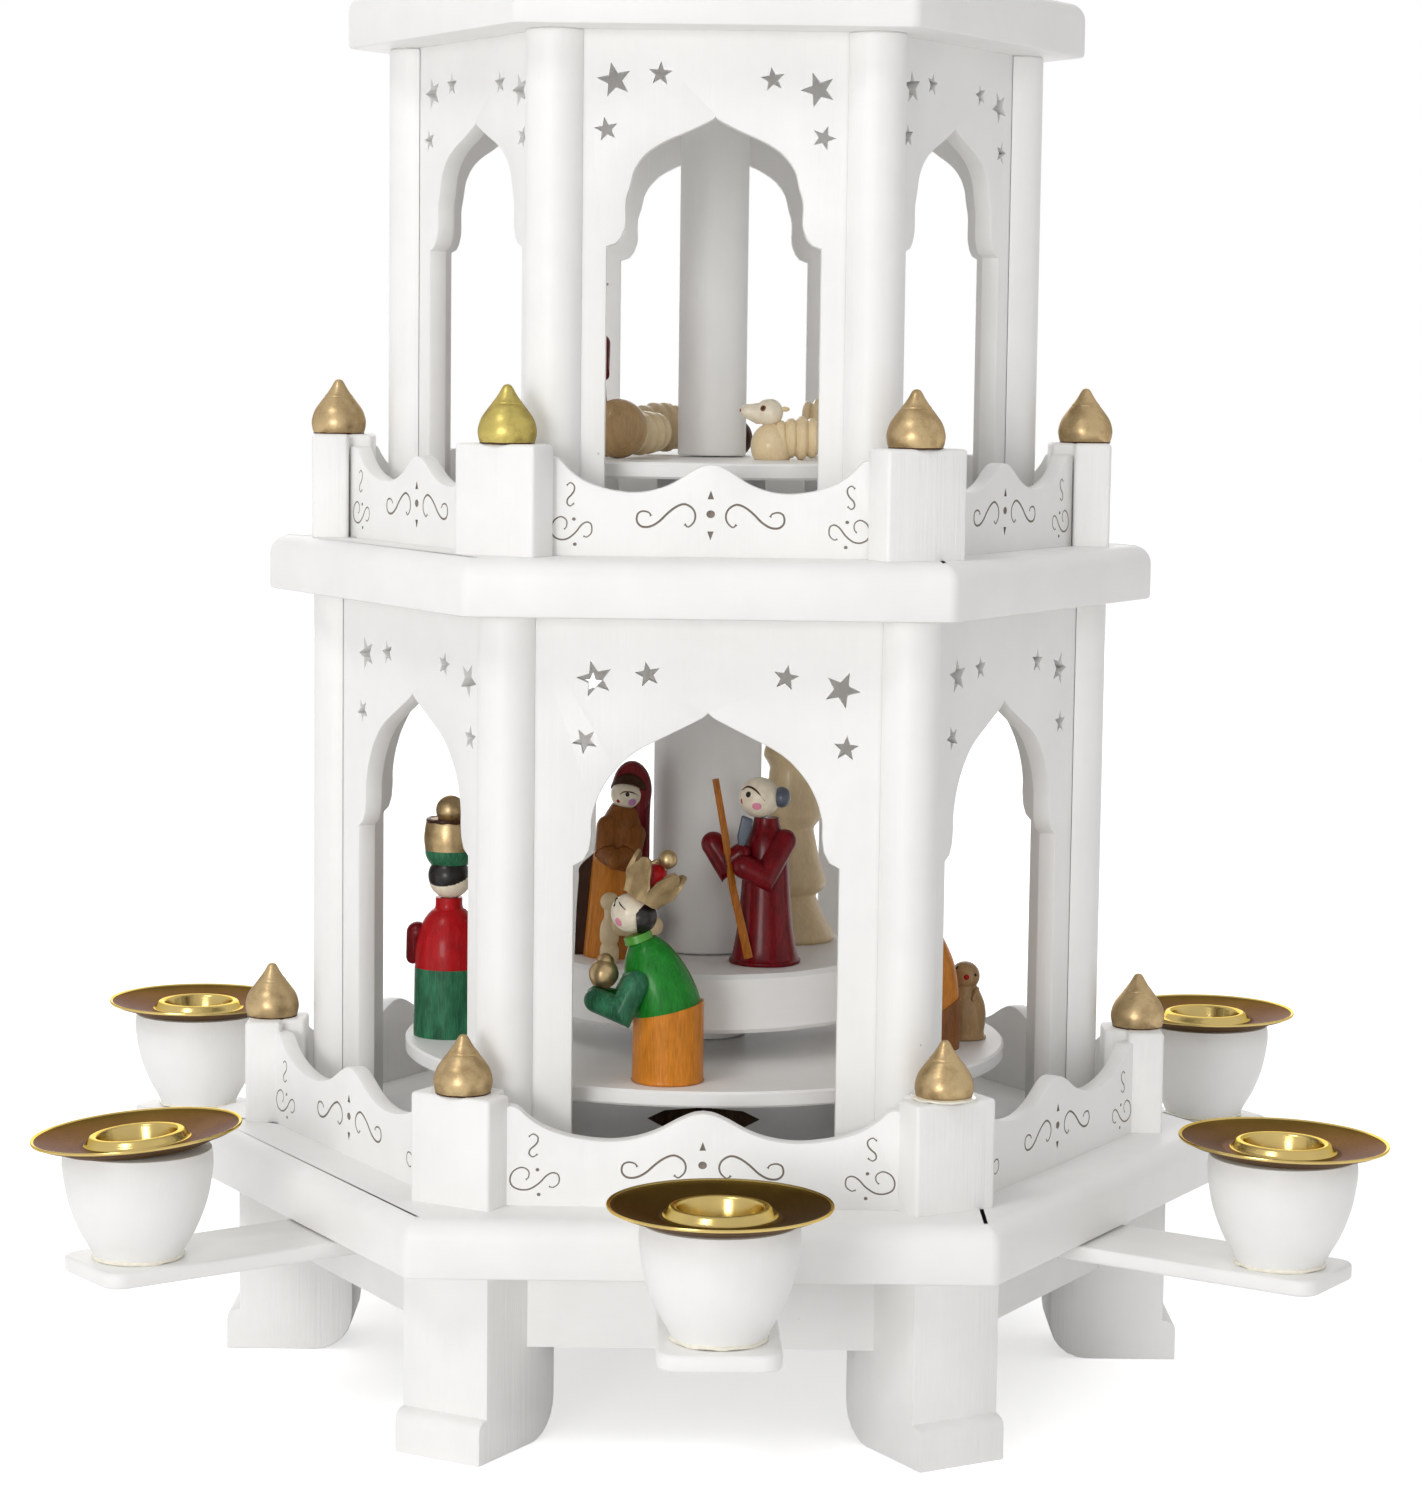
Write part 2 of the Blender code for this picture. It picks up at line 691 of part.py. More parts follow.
def combine(piece, guide, operation):
    """Joins a guide to a piece (UNION) or cuts it away (DIFFERENCE)."""
    modifier = piece.modifiers.new(guide.name, "BOOLEAN")
    modifier.operation = operation
    modifier.solver = "EXACT"
    modifier.object = guide


# Plates

def plate_shape(radius, low):
    """A hexagonal plate with soft corners and a rounded top edge."""
    outline = [(radius * math.cos(turn), radius * math.sin(turn), low) for turn in corner_turns()]
    bm = prism(outline, (0, 0, PLATE_THICKNESS))
    round_edges(bm, upright_edges(bm), PLATE_CORNER_ROUND, 2)
    top = low + PLATE_THICKNESS - WELD_DISTANCE
    rim = [edge for edge in bm.edges if min(vert.co.z for vert in edge.verts) > top]
    return round_edges(bm, rim, PLATE_EDGE_ROUND, 2)


def add_plate(name, radius, low, hole_radius, hole_sides, stand):
    """A plate with the hole that the turning centre passes."""
    plate = add(name, make_mesh(name, plate_shape(radius, low)), "white_paint", stand)
    high = low + PLATE_THICKNESS
    hole = rod(hole_radius, low - CUT_OVERRUN, high + CUT_OVERRUN, hole_sides)
    combine(plate, add_guide(name + "_hole", hole), "DIFFERENCE")


def add_plates(stand):
    """Base, two decks and the roof."""
    lower, middle, upper = STOREYS
    low = [floor - PLATE_THICKNESS for floor in FLOORS]
    column_holes = [radius + CENTRE_CLEARANCE for radius in CENTRE_RADII]
    bush_hole = BUSH_RADIUS + SEAT_GAP
    add_plate("base_plate", lower.plate_radius, low[0], BASE_HOLE_RADIUS, BASE_HOLE_SIDES, stand)
    add_plate("second_deck", middle.plate_radius, low[1], column_holes[0], CENTRE_SIDES, stand)
    add_plate("third_deck", upper.plate_radius, low[2], column_holes[1], CENTRE_SIDES, stand)
    add_plate("roof_plate", ROOF_RADIUS, low[3], bush_hole, SHAFT_SIDES, stand)


# Arcades

def arch_outline(storey, height):
    """One side's panel around its arch, as (across, up) points from the floor."""
    half = storey.column_ring / 2 - COLUMN_RADIUS * PANEL_HOUSING_SHARE
    arch = [
        (storey.arch_half_width * across, storey.arch_shoulder + storey.arch_rise * up)
        for across, up in ARCH_SHARES
    ]
    inner = [(storey.arch_half_width, 0.0)] + arch + [(0.0, storey.arch_shoulder + storey.arch_rise)]
    return [(half, height), (half, 0.0)] + mirrored(inner) + [(-half, 0.0), (-half, height)]


def star_outline(radius, turn):
    """A five-pointed star, as (across, up) points."""
    points = []
    for index in range(2 * STAR_POINTS):
        reach = radius if index % 2 == 0 else radius * STAR_WAIST_SHARE
        angle = turn + math.pi / 2 + math.pi * index / STAR_POINTS
        points.append((reach * math.cos(angle), reach * math.sin(angle)))
    return points


def panel_plane(storey):
    """Distance from the axis to the middle of a panel's thickness."""
    return storey.column_ring * math.cos(math.pi / SIDES)


def star_cutters(storey, low):
    """The star cut-outs of all six panels."""
    cutter = bmesh.new()
    depth = PANEL_THICKNESS + 2 * CUT_OVERRUN
    start = panel_plane(storey) - depth / 2
    for (across_share, up_share), turn in zip(BIG_STAR_PLACE_SHARES, BIG_STAR_TURNS):
        across = across_share * storey.column_ring / 2
        up = low + up_share * storey.clear_height
        star = [
            (start, across + point[0], up + point[1])
            for point in star_outline(BIG_STAR_RADIUS, math.radians(turn))
        ]
        add_shape(cutter, around(prism(star, (depth, 0, 0)), side_turns()))
    return cutter


def add_arcade(storey, floor, stand):
    """Six columns with an arch panel between each pair."""
    name = storey.name + "_arcade"
    low = floor + SEAT_GAP
    height = storey.clear_height - 2 * SEAT_GAP
    place = Matrix.Translation((storey.column_ring, 0, 0))
    column = move(rod(COLUMN_RADIUS, low, low + height, COLUMN_SIDES), place)
    arcade = add(name, make_mesh(name, around(column, corner_turns())), "white_paint", stand)
    face = panel_plane(storey) - PANEL_THICKNESS / 2
    outline = [(face, across, low + up) for across, up in arch_outline(storey, height)]
    panels = around(prism(outline, (PANEL_THICKNESS, 0, 0)), side_turns())
    combine(arcade, add_guide(storey.name + "_panels", panels), "UNION")
    combine(arcade, add_guide(storey.name + "_stars", star_cutters(storey, floor)), "DIFFERENCE")


# Balustrades

def post_shape(storey, low):
    """A post with a broad head outside and a narrow stem behind, where the boards end."""
    outer = storey.post_ring + POST_DEPTH / 2
    head = outer - POST_HEAD_DEPTH
    inner = outer - POST_DEPTH
    wide = POST_WIDTH / 2
    narrow = POST_STEM_WIDTH / 2
    right = [(outer, wide), (head, wide), (head, narrow), (inner, narrow)]
    left = [(radius, -across) for radius, across in reversed(right)]
    return prism([(radius, across, low) for radius, across in right + left], (0, 0, POST_HEIGHT))


def board_shape(storey, low):
    """A rail board, let into the stems of its posts, with a curved top edge that rises at its middle."""
    back = storey.board_apothem - BOARD_THICKNESS
    lean = math.pi / SIDES
    narrow = POST_STEM_WIDTH / 2
    stem = (back - narrow * math.sin(lean)) / math.cos(lean)
    half = stem * math.sin(lean) - narrow * math.cos(lean) + BOARD_HOUSING
    top = [(half * across, BOARD_HEIGHT * up) for across, up in BOARD_TOP_SHARES]
    crest = mirrored(top + [(0.0, BOARD_HEIGHT * BOARD_PEAK_SHARE)])
    outline = [(-half, 0.0), (half, 0.0)] + crest
    return prism([(back, across, low + up) for across, up in outline], (BOARD_THICKNESS, 0, 0))


def finial_shape(storey, low):
    """An onion finial, rooted in its post."""
    profile = [(FINIAL_RADIUS * out, low + FINIAL_HEIGHT * up) for out, up in FINIAL_SHARES]
    profile.insert(0, (profile[0][0], low - FINIAL_ROOT))
    place = Matrix.Translation((storey.post_ring + FINIAL_OFFSET, 0, 0))
    return move(solid_lathe(profile, FINIAL_SIDES), place)


def add_balustrade(storey, floor, stand):
    """Posts with finials and the boards between them, around one storey."""
    name = storey.name + "_balustrade"
    low = floor + SEAT_GAP
    posts = around(post_shape(storey, low), corner_turns())
    balustrade = add(name, make_mesh(name, posts), "white_paint", stand)
    boards = around(board_shape(storey, low), side_turns())
    finials = around(finial_shape(storey, low + POST_HEIGHT), corner_turns())
    combine(balustrade, add_guide(storey.name + "_boards", boards), "UNION")
    combine(balustrade, add_guide(storey.name + "_finials", finials), "UNION")


# Legs and apron

def leg_shape():
    """A square leg with a foot that stands proud outside and is rounded off inside."""
    outer = LEG_OUTER_RADIUS
    inner = outer - LEG_DEPTH
    top = LEG_HEIGHT - SEAT_GAP
    foot = [(outer + FOOT_BULGE * out, FOOT_HEIGHT * up) for out, up in FOOT_SHARES]
    heel = [(inner + FOOT_HEEL_ROUND * out, FOOT_HEEL_ROUND * up) for out, up in HEEL_SHARES]
    outline = [(outer + FOOT_BULGE, 0.0)] + foot + [(outer, top), (inner, top)] + heel
    points = [(radius, -LEG_WIDTH / 2, height) for radius, height in outline]
    return prism(points, (0, LEG_WIDTH, 0))


def hexagon_ring(apothem, thickness, low, high):
    """A hexagonal ring with its outer faces at an apothem."""
    stretch = 1 / math.cos(math.pi / SIDES)
    return tube((apothem - thickness) * stretch, apothem * stretch, low, high, SIDES)


def add_legs(stand):
    """Six legs, slotted from above for the apron."""
    mesh = make_mesh("leg", leg_shape())
    slot = hexagon_ring(
        APRON_APOTHEM + SEAT_GAP,
        APRON_THICKNESS + 2 * SEAT_GAP,
        LEG_HEIGHT - APRON_HEIGHT - APRON_SLOT_SPARE,
        LEG_HEIGHT + CUT_OVERRUN,
    )
    cutter = add_guide("apron_slot", slot)
    for index, turn in enumerate(corner_turns()):
        leg = add(f"leg_{index + 1}", mesh, "white_paint", stand, turn=turn)
        combine(leg, cutter, "DIFFERENCE")


def add_apron(stand):
    """A ring of boards let into the legs, notched for the candle arms."""
    low = LEG_HEIGHT - APRON_HEIGHT
    ring = hexagon_ring(APRON_APOTHEM, APRON_THICKNESS, low, LEG_HEIGHT - SEAT_GAP)
    apron = add("apron_ring", make_mesh("apron_ring", ring), "white_paint", stand)
    half = ARM_WIDTH / 2 + SEAT_GAP
    low_corner = (ARM_INNER_RADIUS, -half, ARM_BOTTOM - SEAT_GAP)
    notch = box(low_corner, (ARM_OUTER_RADIUS, half, LEG_HEIGHT + CUT_OVERRUN))
    combine(apron, add_guide("arm_notches", around(notch, arm_turns())), "DIFFERENCE")


# Candle arms, cups and dishes

def arm_shape():
    """A flat arm with rounded corners at its outer end."""
    half = ARM_WIDTH / 2
    low = ARM_BOTTOM
    bm = box((ARM_INNER_RADIUS, -half, low), (ARM_OUTER_RADIUS, half, low + ARM_THICKNESS))
    outside = ARM_OUTER_RADIUS - WELD_DISTANCE
    corners = [edge for edge in upright_edges(bm) if edge.verts[0].co.x > outside]
    return round_edges(bm, corners, ARM_CORNER_ROUND, 3)


def cup_shape():
    """A turned wooden cup with a bore for the socket of its dish."""
    bore = SOCKET_RADIUS + DISH_SHEET + SEAT_GAP
    floor = CUP_HEIGHT - SOCKET_DEPTH - SEAT_GAP
    outside = [(CUP_RADIUS * out, CUP_HEIGHT * up) for out, up in CUP_SHARES]
    return lathe([(0.0, 0.0)] + outside + [(bore, CUP_HEIGHT), (bore, floor), (0.0, floor)], CUP_SIDES)


def dish_shape():
    """A pressed sheet dish: a flared rim, a raised collar and a socket for the candle."""
    sheet = DISH_SHEET
    floor = sheet - SOCKET_DEPTH
    above = [
        (0.0, floor),
        (SOCKET_RADIUS, floor),
        (SOCKET_RADIUS, COLLAR_RISE - sheet),
        ((SOCKET_RADIUS + COLLAR_RADIUS) / 2, COLLAR_RISE),
        (COLLAR_RADIUS, COLLAR_RISE - sheet),
        (DISH_WELL_RADIUS, sheet),
        (DISH_RADIUS, DISH_RISE),
    ]
    below = [
        (DISH_RADIUS, DISH_RISE - sheet),
        (DISH_WELL_RADIUS, 0.0),
        (SOCKET_RADIUS + sheet, 0.0),
        (SOCKET_RADIUS + sheet, -SOCKET_DEPTH),
        (0.0, -SOCKET_DEPTH),
    ]
    return lathe(above + below, CUP_SIDES)


def add_candle_arms(stand):
    """Arms under the base plate, each with its cup and its loose dish."""
    arm = make_mesh("candle_arm", arm_shape())
    cup = make_mesh("candle_cup", cup_shape())
    dish = make_mesh("drip_dish", dish_shape())
    for index, turn in enumerate(arm_turns()):
        number = index + 1
        x = CUP_RING * math.cos(turn)
        y = CUP_RING * math.sin(turn)
        dish_parent = make_empty(f"dish_seat_{number}")
        dish_parent.location = (x, y, CUP_TOP + SEAT_GAP)
        add(f"candle_arm_{number}", arm, "white_paint", stand, turn=turn)
        add(f"candle_cup_{number}", cup, "white_paint", stand, (x, y, LEG_HEIGHT), turn)
        add(f"drip_dish_{number}", dish, "brass", dish_parent, turn=turn)


# Bearings

def bearing_cup_shape():
    """A flanged cup that hangs in the bridge, with a well for the shaft's tip."""
    brim = BRIDGE_TOP + SEAT_GAP
    top = brim + BEARING_FLANGE
    floor = BEARING_BOTTOM + BEARING_FLOOR
    flange = BEARING_RADIUS + BEARING_FLANGE
    return lathe(
        [
            (0.0, BEARING_BOTTOM),
            (BEARING_RADIUS, BEARING_BOTTOM),
            (BEARING_RADIUS, brim),
            (flange, brim),
            (flange, top),
            (BORE_RADIUS, top),
            (BORE_RADIUS, floor),
            (0.0, floor),
        ],
        SHAFT_SIDES,
    )


def bush_shape():
    """A flanged bush in the roof plate, where the shaft leaves it."""
    low = ROOF_TOP - PLATE_THICKNESS
    brim = ROOF_TOP + SEAT_GAP
    flange = BUSH_RADIUS + BUSH_FLANGE
    return lathe(
        [
            (BORE_RADIUS, low),
            (BUSH_RADIUS, low),
            (BUSH_RADIUS, brim),
            (flange, brim),
            (flange, brim + BUSH_FLANGE_THICKNESS),
            (BORE_RADIUS, brim + BUSH_FLANGE_THICKNESS),
        ],
        SHAFT_SIDES,
        closed=True,
    )


def add_bearings(stand):
    """A bridge under the base with the cup that the shaft's tip stands in, and a bush in the roof."""
    low = BRIDGE_TOP - BRIDGE_THICKNESS
    half_length = BRIDGE_LENGTH / 2
    half_width = BRIDGE_WIDTH / 2
    block = box((-half_length, -half_width, low), (half_length, half_width, BRIDGE_TOP))
    bridge = add("bearing_bridge", make_mesh("bearing_bridge", block), "bare_wood", stand)
    seat = rod(BEARING_RADIUS + SEAT_GAP, low - CUT_OVERRUN, BRIDGE_TOP + CUT_OVERRUN, CENTRE_SIDES)
    combine(bridge, add_guide("bearing_seat", seat), "DIFFERENCE")
    add("bearing_cup", make_mesh("bearing_cup", bearing_cup_shape()), "brass", stand)
    add("top_bearing_bush", make_mesh("top_bearing_bush", bush_shape()), "brass", stand)


# Turning centre

def add_turned(name, profile, sides, finish, carousel):
    """One turned piece on the shaft, with a bore along the axis."""
    return add(name, make_mesh(name, lathe(profile, sides, closed=True)), finish, carousel)


def add_shaft(carousel):
    """The steel shaft from its pointed tip to the knob."""
    shoulder = SHAFT_BOTTOM + SHAFT_TIP_LENGTH
    profile = [(0.0, SHAFT_BOTTOM), (SHAFT_RADIUS, shoulder), (SHAFT_RADIUS, SHAFT_TOP)]
    add("drive_shaft", make_mesh("drive_shaft", solid_lathe(profile, SHAFT_SIDES)), "steel", carousel)


def disc_profile(radius, top, hub_radius, hub_height):
    """A disc with its hub below."""
    low = top - DISC_THICKNESS
    return [
        (BORE_RADIUS, low - hub_height),
        (hub_radius, low - hub_height),
        (hub_radius, low),
        (radius, low),
        (radius, top),
        (BORE_RADIUS, top),
    ]


def straight_profile(radius, low, high):
    """A straight turned piece around the shaft."""
    return [(BORE_RADIUS, low), (radius, low), (radius, high), (BORE_RADIUS, high)]


def add_turntables(carousel):
    """Three discs and the raised pedestal of the lowest one."""
    lower, middle, upper = STOREYS
    lowest = disc_profile(lower.disc_radius, DISC_TOPS[0], HUB_RADIUS, HUB_HEIGHT)
    add_turned("lower_turntable", lowest, DISC_SIDES, "white_paint", carousel)
    for name, storey, top in (("middle", middle, DISC_TOPS[1]), ("upper", upper, DISC_TOPS[2])):
        disc = straight_profile(storey.disc_radius, top - DISC_THICKNESS, top)
        add_turned(name + "_turntable", disc, DISC_SIDES, "white_paint", carousel)
    underside = DISC_TOPS[0] + PEDESTAL_LIFT
    seat = DISC_TOPS[0] + SEAT_GAP
    pedestal = [
        (BORE_RADIUS, seat),
        (HUB_RADIUS, seat),
        (HUB_RADIUS, underside),
        (PEDESTAL_RADIUS, underside),
        (PEDESTAL_RADIUS, PEDESTAL_TOP),
        (BORE_RADIUS, PEDESTAL_TOP),
    ]
    add_turned("pedestal", pedestal, DISC_SIDES, "white_paint", carousel)


def add_centre_columns(carousel):
    """Wooden sleeves on the shaft, which carry the discs above them."""
    lows = [PEDESTAL_TOP, DISC_TOPS[1], DISC_TOPS[2]]
    highs = [top - DISC_THICKNESS for top in DISC_TOPS[1:]]
    highs.append(ROOF_TOP - PLATE_THICKNESS - CENTRE_CLEARANCE)
    for storey, radius, low, high in zip(STOREYS, CENTRE_RADII, lows, highs):
        sleeve = straight_profile(radius, low + SEAT_GAP, high - SEAT_GAP)
        add_turned(storey.name + "_column", sleeve, CENTRE_SIDES, "white_paint", carousel)


# Rotor

def blade_shape():
    """A pitched blade that widens towards its rounded tip."""
    root = BLADE_ROOT_WIDTH / 2
    tip = BLADE_TIP_WIDTH / 2
    half = [(BLADE_ROOT_RADIUS, root), (ROTOR_RADIUS, tip)]
    corners = half + [(radius, -across) for radius, across in reversed(half)]
    points = [(radius, across, -BLADE_THICKNESS / 2) for radius, across in corners]
    bm = prism(points, (0, 0, BLADE_THICKNESS))
    outside = ROTOR_RADIUS - WELD_DISTANCE
    rounded = [edge for edge in upright_edges(bm) if edge.verts[0].co.x > outside]
    round_edges(bm, rounded, BLADE_CORNER_ROUND, 1)
    return move(bm, Matrix.Rotation(BLADE_PITCH, 4, "X"))


def stem_shape():
    """The dowel that carries a blade in the hub."""
    start = ROTOR_HUB_RADIUS - STEM_SINK
    end = BLADE_ROOT_RADIUS + BLADE_OVERLAP
    return move(rod(STEM_RADIUS, start, end, STEM_SIDES), Matrix.Rotation(math.pi / 2, 4, "Y"))


def add_knob(carousel):
    """An onion knob with a blind hole for the shaft's end."""
    low = ROTOR_TOP + SEAT_GAP
    outside = [(KNOB_RADIUS * out, low + KNOB_HEIGHT * up) for out, up in KNOB_SHARES]
    blind = ROTOR_TOP + KNOB_HOLE_DEPTH
    hole = [(0.0, blind), (BORE_RADIUS, blind), (BORE_RADIUS, low)]
    knob = lathe(hole + outside, SHAFT_SIDES)
    add("rotor_knob", make_mesh("rotor_knob", knob), "gold_paint", carousel)


def add_rotor(carousel):
    """A hub with pitched blades around it on dowels."""
    low = ROTOR_BOTTOM
    rim = ROTOR_HUB_RADIUS - ROTOR_HUB_ROUND
    hub = [
        (BORE_RADIUS, low),
        (rim, low),
        (ROTOR_HUB_RADIUS, low + ROTOR_HUB_ROUND),
        (ROTOR_HUB_RADIUS, ROTOR_TOP - ROTOR_HUB_ROUND),
        (rim, ROTOR_TOP),
        (BORE_RADIUS, ROTOR_TOP),
    ]
    rotor = add_turned("rotor", hub, ROTOR_HUB_SIDES, "white_paint", carousel)
    turns = [math.tau * index / BLADE_COUNT for index in range(BLADE_COUNT)]
    centre = Matrix.Translation((0, 0, (ROTOR_BOTTOM + ROTOR_TOP) / 2))
    stems = move(around(stem_shape(), turns), centre)
    blades = move(around(blade_shape(), turns), centre)
    combine(rotor, add_guide("rotor_stems", stems), "UNION")
    combine(rotor, add_guide("rotor_blades", blades), "UNION")


# Figures

def turned_part(part, height):
    """One turned part of a figure, laid from its start to its end."""
    start = Vector(part.start) * height
    axis = Vector(part.end) * height - start
    profile = [(part.radius * height * out, axis.length * up) for out, up in part.profile]
    turn = Vector((0, 0, 1)).rotation_difference(axis).to_matrix().to_4x4()
    return move(solid_lathe(profile, part.sides), Matrix.Translation(start) @ turn)


def figure_place(figure):
    """Where a figure stands: on the pedestal or on its storey's disc."""
    discs = {storey.name: (storey.disc_radius, top) for storey, top in zip(STOREYS, DISC_TOPS)}
    discs["pedestal"] = (PEDESTAL_RADIUS, PEDESTAL_TOP)
    radius, top = discs[figure.disc]
    x, y = figure.place_shares
    return (x * radius, y * radius, top + SEAT_GAP)


def add_figure(figure, carousel):
    """A figure glued up from turned parts."""
    place = figure_place(figure)
    body = make_mesh(figure.name, turned_part(figure.parts[0], figure.height))
    piece = add(figure.name, body, figure.finish, carousel, place)
    for index, part in enumerate(figure.parts[1:]):
        guide = add_guide(f"{figure.name}_part_{index + 2}", turned_part(part, figure.height))
        guide.location = place
        combine(piece, guide, "UNION")


def add_angels(carousel):
    """Angels on one ring, facing outwards."""
    low = DISC_TOPS[2] + SEAT_GAP
    half = ANGEL_RING_WIDTH / 2
    inner, outer = ANGEL_RING_RADIUS - half, ANGEL_RING_RADIUS + half
    ring = tube(inner, outer, low, low + ANGEL_RING_THICKNESS, DISC_SIDES)
    choir = add("angel_choir", make_mesh("angel_choir", ring), "natural_wood", carousel)
    turns = [math.tau * (index + 0.5) / ANGEL_COUNT for index in range(ANGEL_COUNT)]
    place = Matrix.Translation((ANGEL_RING_RADIUS, 0, low + ANGEL_RING_THICKNESS))
    for index, part in enumerate(ANGEL_PARTS):
        shape = around(move(turned_part(part, ANGEL_HEIGHT), place), turns)
        combine(choir, add_guide(f"angel_part_{index + 1}", shape), "UNION")


def clear_scene():
    """Removes what a new file starts with."""
    for leftover in list(bpy.data.objects):
        bpy.data.objects.remove(leftover, do_unlink=True)


def main():
    """Builds the whole carousel."""
    clear_scene()
    stand = make_empty("stand")
    carousel = make_empty("turning_axis")
    add_plates(stand)
    add_legs(stand)
    add_apron(stand)
    add_bearings(stand)
    add_candle_arms(stand)
    for storey, floor in zip(STOREYS, FLOORS):
        add_arcade(storey, floor, stand)
        add_balustrade(storey, floor, stand)
    add_shaft(carousel)
    add_turntables(carousel)
    add_centre_columns(carousel)
    add_rotor(carousel)
    add_knob(carousel)
    for figure in FIGURES:
        add_figure(figure, carousel)
    add_angels(carousel)


main()
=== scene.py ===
"""Candle carousel of white painted wood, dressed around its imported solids.

Shapes are modelled in millimetres, with the turning axis on Z and the front towards -Y, and become
metres when a piece is made.
"""
from collections import namedtuple
import math

import bmesh
import bpy
from mathutils import Matrix, Vector, geometry, noise


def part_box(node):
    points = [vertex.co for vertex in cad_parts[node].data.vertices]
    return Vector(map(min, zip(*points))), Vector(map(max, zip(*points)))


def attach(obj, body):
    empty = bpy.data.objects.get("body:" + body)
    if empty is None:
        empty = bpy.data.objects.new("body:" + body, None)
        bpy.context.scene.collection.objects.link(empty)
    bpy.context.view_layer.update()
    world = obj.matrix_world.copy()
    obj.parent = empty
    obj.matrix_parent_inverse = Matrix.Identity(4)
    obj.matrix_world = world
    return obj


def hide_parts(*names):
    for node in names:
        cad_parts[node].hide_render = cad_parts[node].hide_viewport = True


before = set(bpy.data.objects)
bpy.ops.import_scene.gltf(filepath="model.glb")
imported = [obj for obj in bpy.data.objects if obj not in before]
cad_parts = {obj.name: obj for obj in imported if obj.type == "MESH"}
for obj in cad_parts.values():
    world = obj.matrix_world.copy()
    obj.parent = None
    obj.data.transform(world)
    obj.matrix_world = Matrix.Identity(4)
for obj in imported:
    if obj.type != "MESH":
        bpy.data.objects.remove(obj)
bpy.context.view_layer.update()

# Blender seeds this noise by the clock, so a fixed seed gives the same shapes in each run
noise.seed_set(1)

bl_info = {
    "name": "Candle Carousel",
    "version": (1, 0, 0),
    "blender": (4, 5, 0),
    "location": "View3D > Sidebar > Carousel",
    "description": "Builds a six-sided wooden candle carousel piece by piece",
    "category": "Object",
}

MM = 0.001
WELD = 0.001
SHARP = math.radians(32)
SIDES = 6
CORNERS = [math.tau * index / SIDES for index in range(SIDES)]
MIDDLES = [turn + math.pi / SIDES for turn in CORNERS]
SLOPE = math.cos(math.pi / SIDES)
QUARTER = [math.pi / 2 * step / 6 for step in range(7)]


def level(node, end):
    """Height of a CAD node's underside (0) or top (1), in millimetres."""
    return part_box(node)[end][2] / MM


# Sizes in millimetres

Storey = namedtuple(
    "Storey",
    "name floor ceiling ring jamb shoulder rise arch stars posts rail half ends valley peak spread",
)

# Arch outlines as shares of the half width and of the rise above the shoulder
WIDE_ARCH = (
    (0.882, 0.107), (0.868, 0.2), (0.868, 0.29), (0.847, 0.379), (0.806, 0.475),
    (0.736, 0.579), (0.622, 0.69), (0.5, 0.767), (0.351, 0.833), (0.066, 0.958), (0.0, 1.0),
)
SLIM_ARCH = (
    (0.863, 0.075), (0.824, 0.178), (0.824, 0.349), (0.785, 0.466), (0.742, 0.598),
    (0.635, 0.715), (0.476, 0.804), (0.232, 0.893), (0.039, 0.972), (0.0, 1.0),
)
# Stars: across, up, point radius, turn in degrees
LOWER_STARS = (
    (-24.5, 112.4, 4.1, 12), (28.8, 110.6, 4.1, -20), (-13.1, 113.5, 2.9, 6),
    (16.7, 113.1, 2.9, -4), (-26.6, 98.9, 2.9, 22), (29.9, 97.9, 2.9, 3),
)
MIDDLE_STARS = (
    (-21.9, 102.2, 3.9, 10), (22.2, 100.6, 3.9, 24), (-12.0, 103.6, 2.7, -8),
    (12.3, 102.7, 2.7, 14), (-23.6, 91.6, 2.7, 4), (23.5, 90.3, 2.7, -12),
)
UPPER_STARS = tuple((across * 0.755, up * 0.903, size * 0.85, turn) for across, up, size, turn in MIDDLE_STARS)

STOREYS = (
    Storey("lower", level("base_plate", 1), level("second_deck", 0), 87.0, 28.8, 71.6, 33.5, WIDE_ARCH,
           LOWER_STARS, 101.9, 92.9, 43.9, 21.6, 14.3, 20.5, 1.0),
    Storey("middle", level("second_deck", 1), level("third_deck", 0), 69.5, 23.3, 66.4, 28.1, SLIM_ARCH,
           MIDDLE_STARS, 86.2, 76.5, 36.0, 21.1, 13.8, 19.9, 0.83),
    Storey("upper", level("third_deck", 1), level("roof_plate", 0), 52.5, 17.2, 60.0, 24.5, SLIM_ARCH,
           UPPER_STARS, 68.4, 60.8, 27.1, 21.1, 13.8, 19.9, 0.64),
)

# Rail boards: crest as shares of the half length, and of the way from the valley up to the end
CREST = ((0.93, 1.0), (0.9, 0.93), (0.85, 0.66), (0.77, 0.36), (0.66, 0.14), (0.54, 0.02), (0.43, 0.0), (0.32, 0.1))
CREST_PEAK = ((0.22, 0.36), (0.12, 0.74), (0.05, 0.95), (0.0, 1.0))
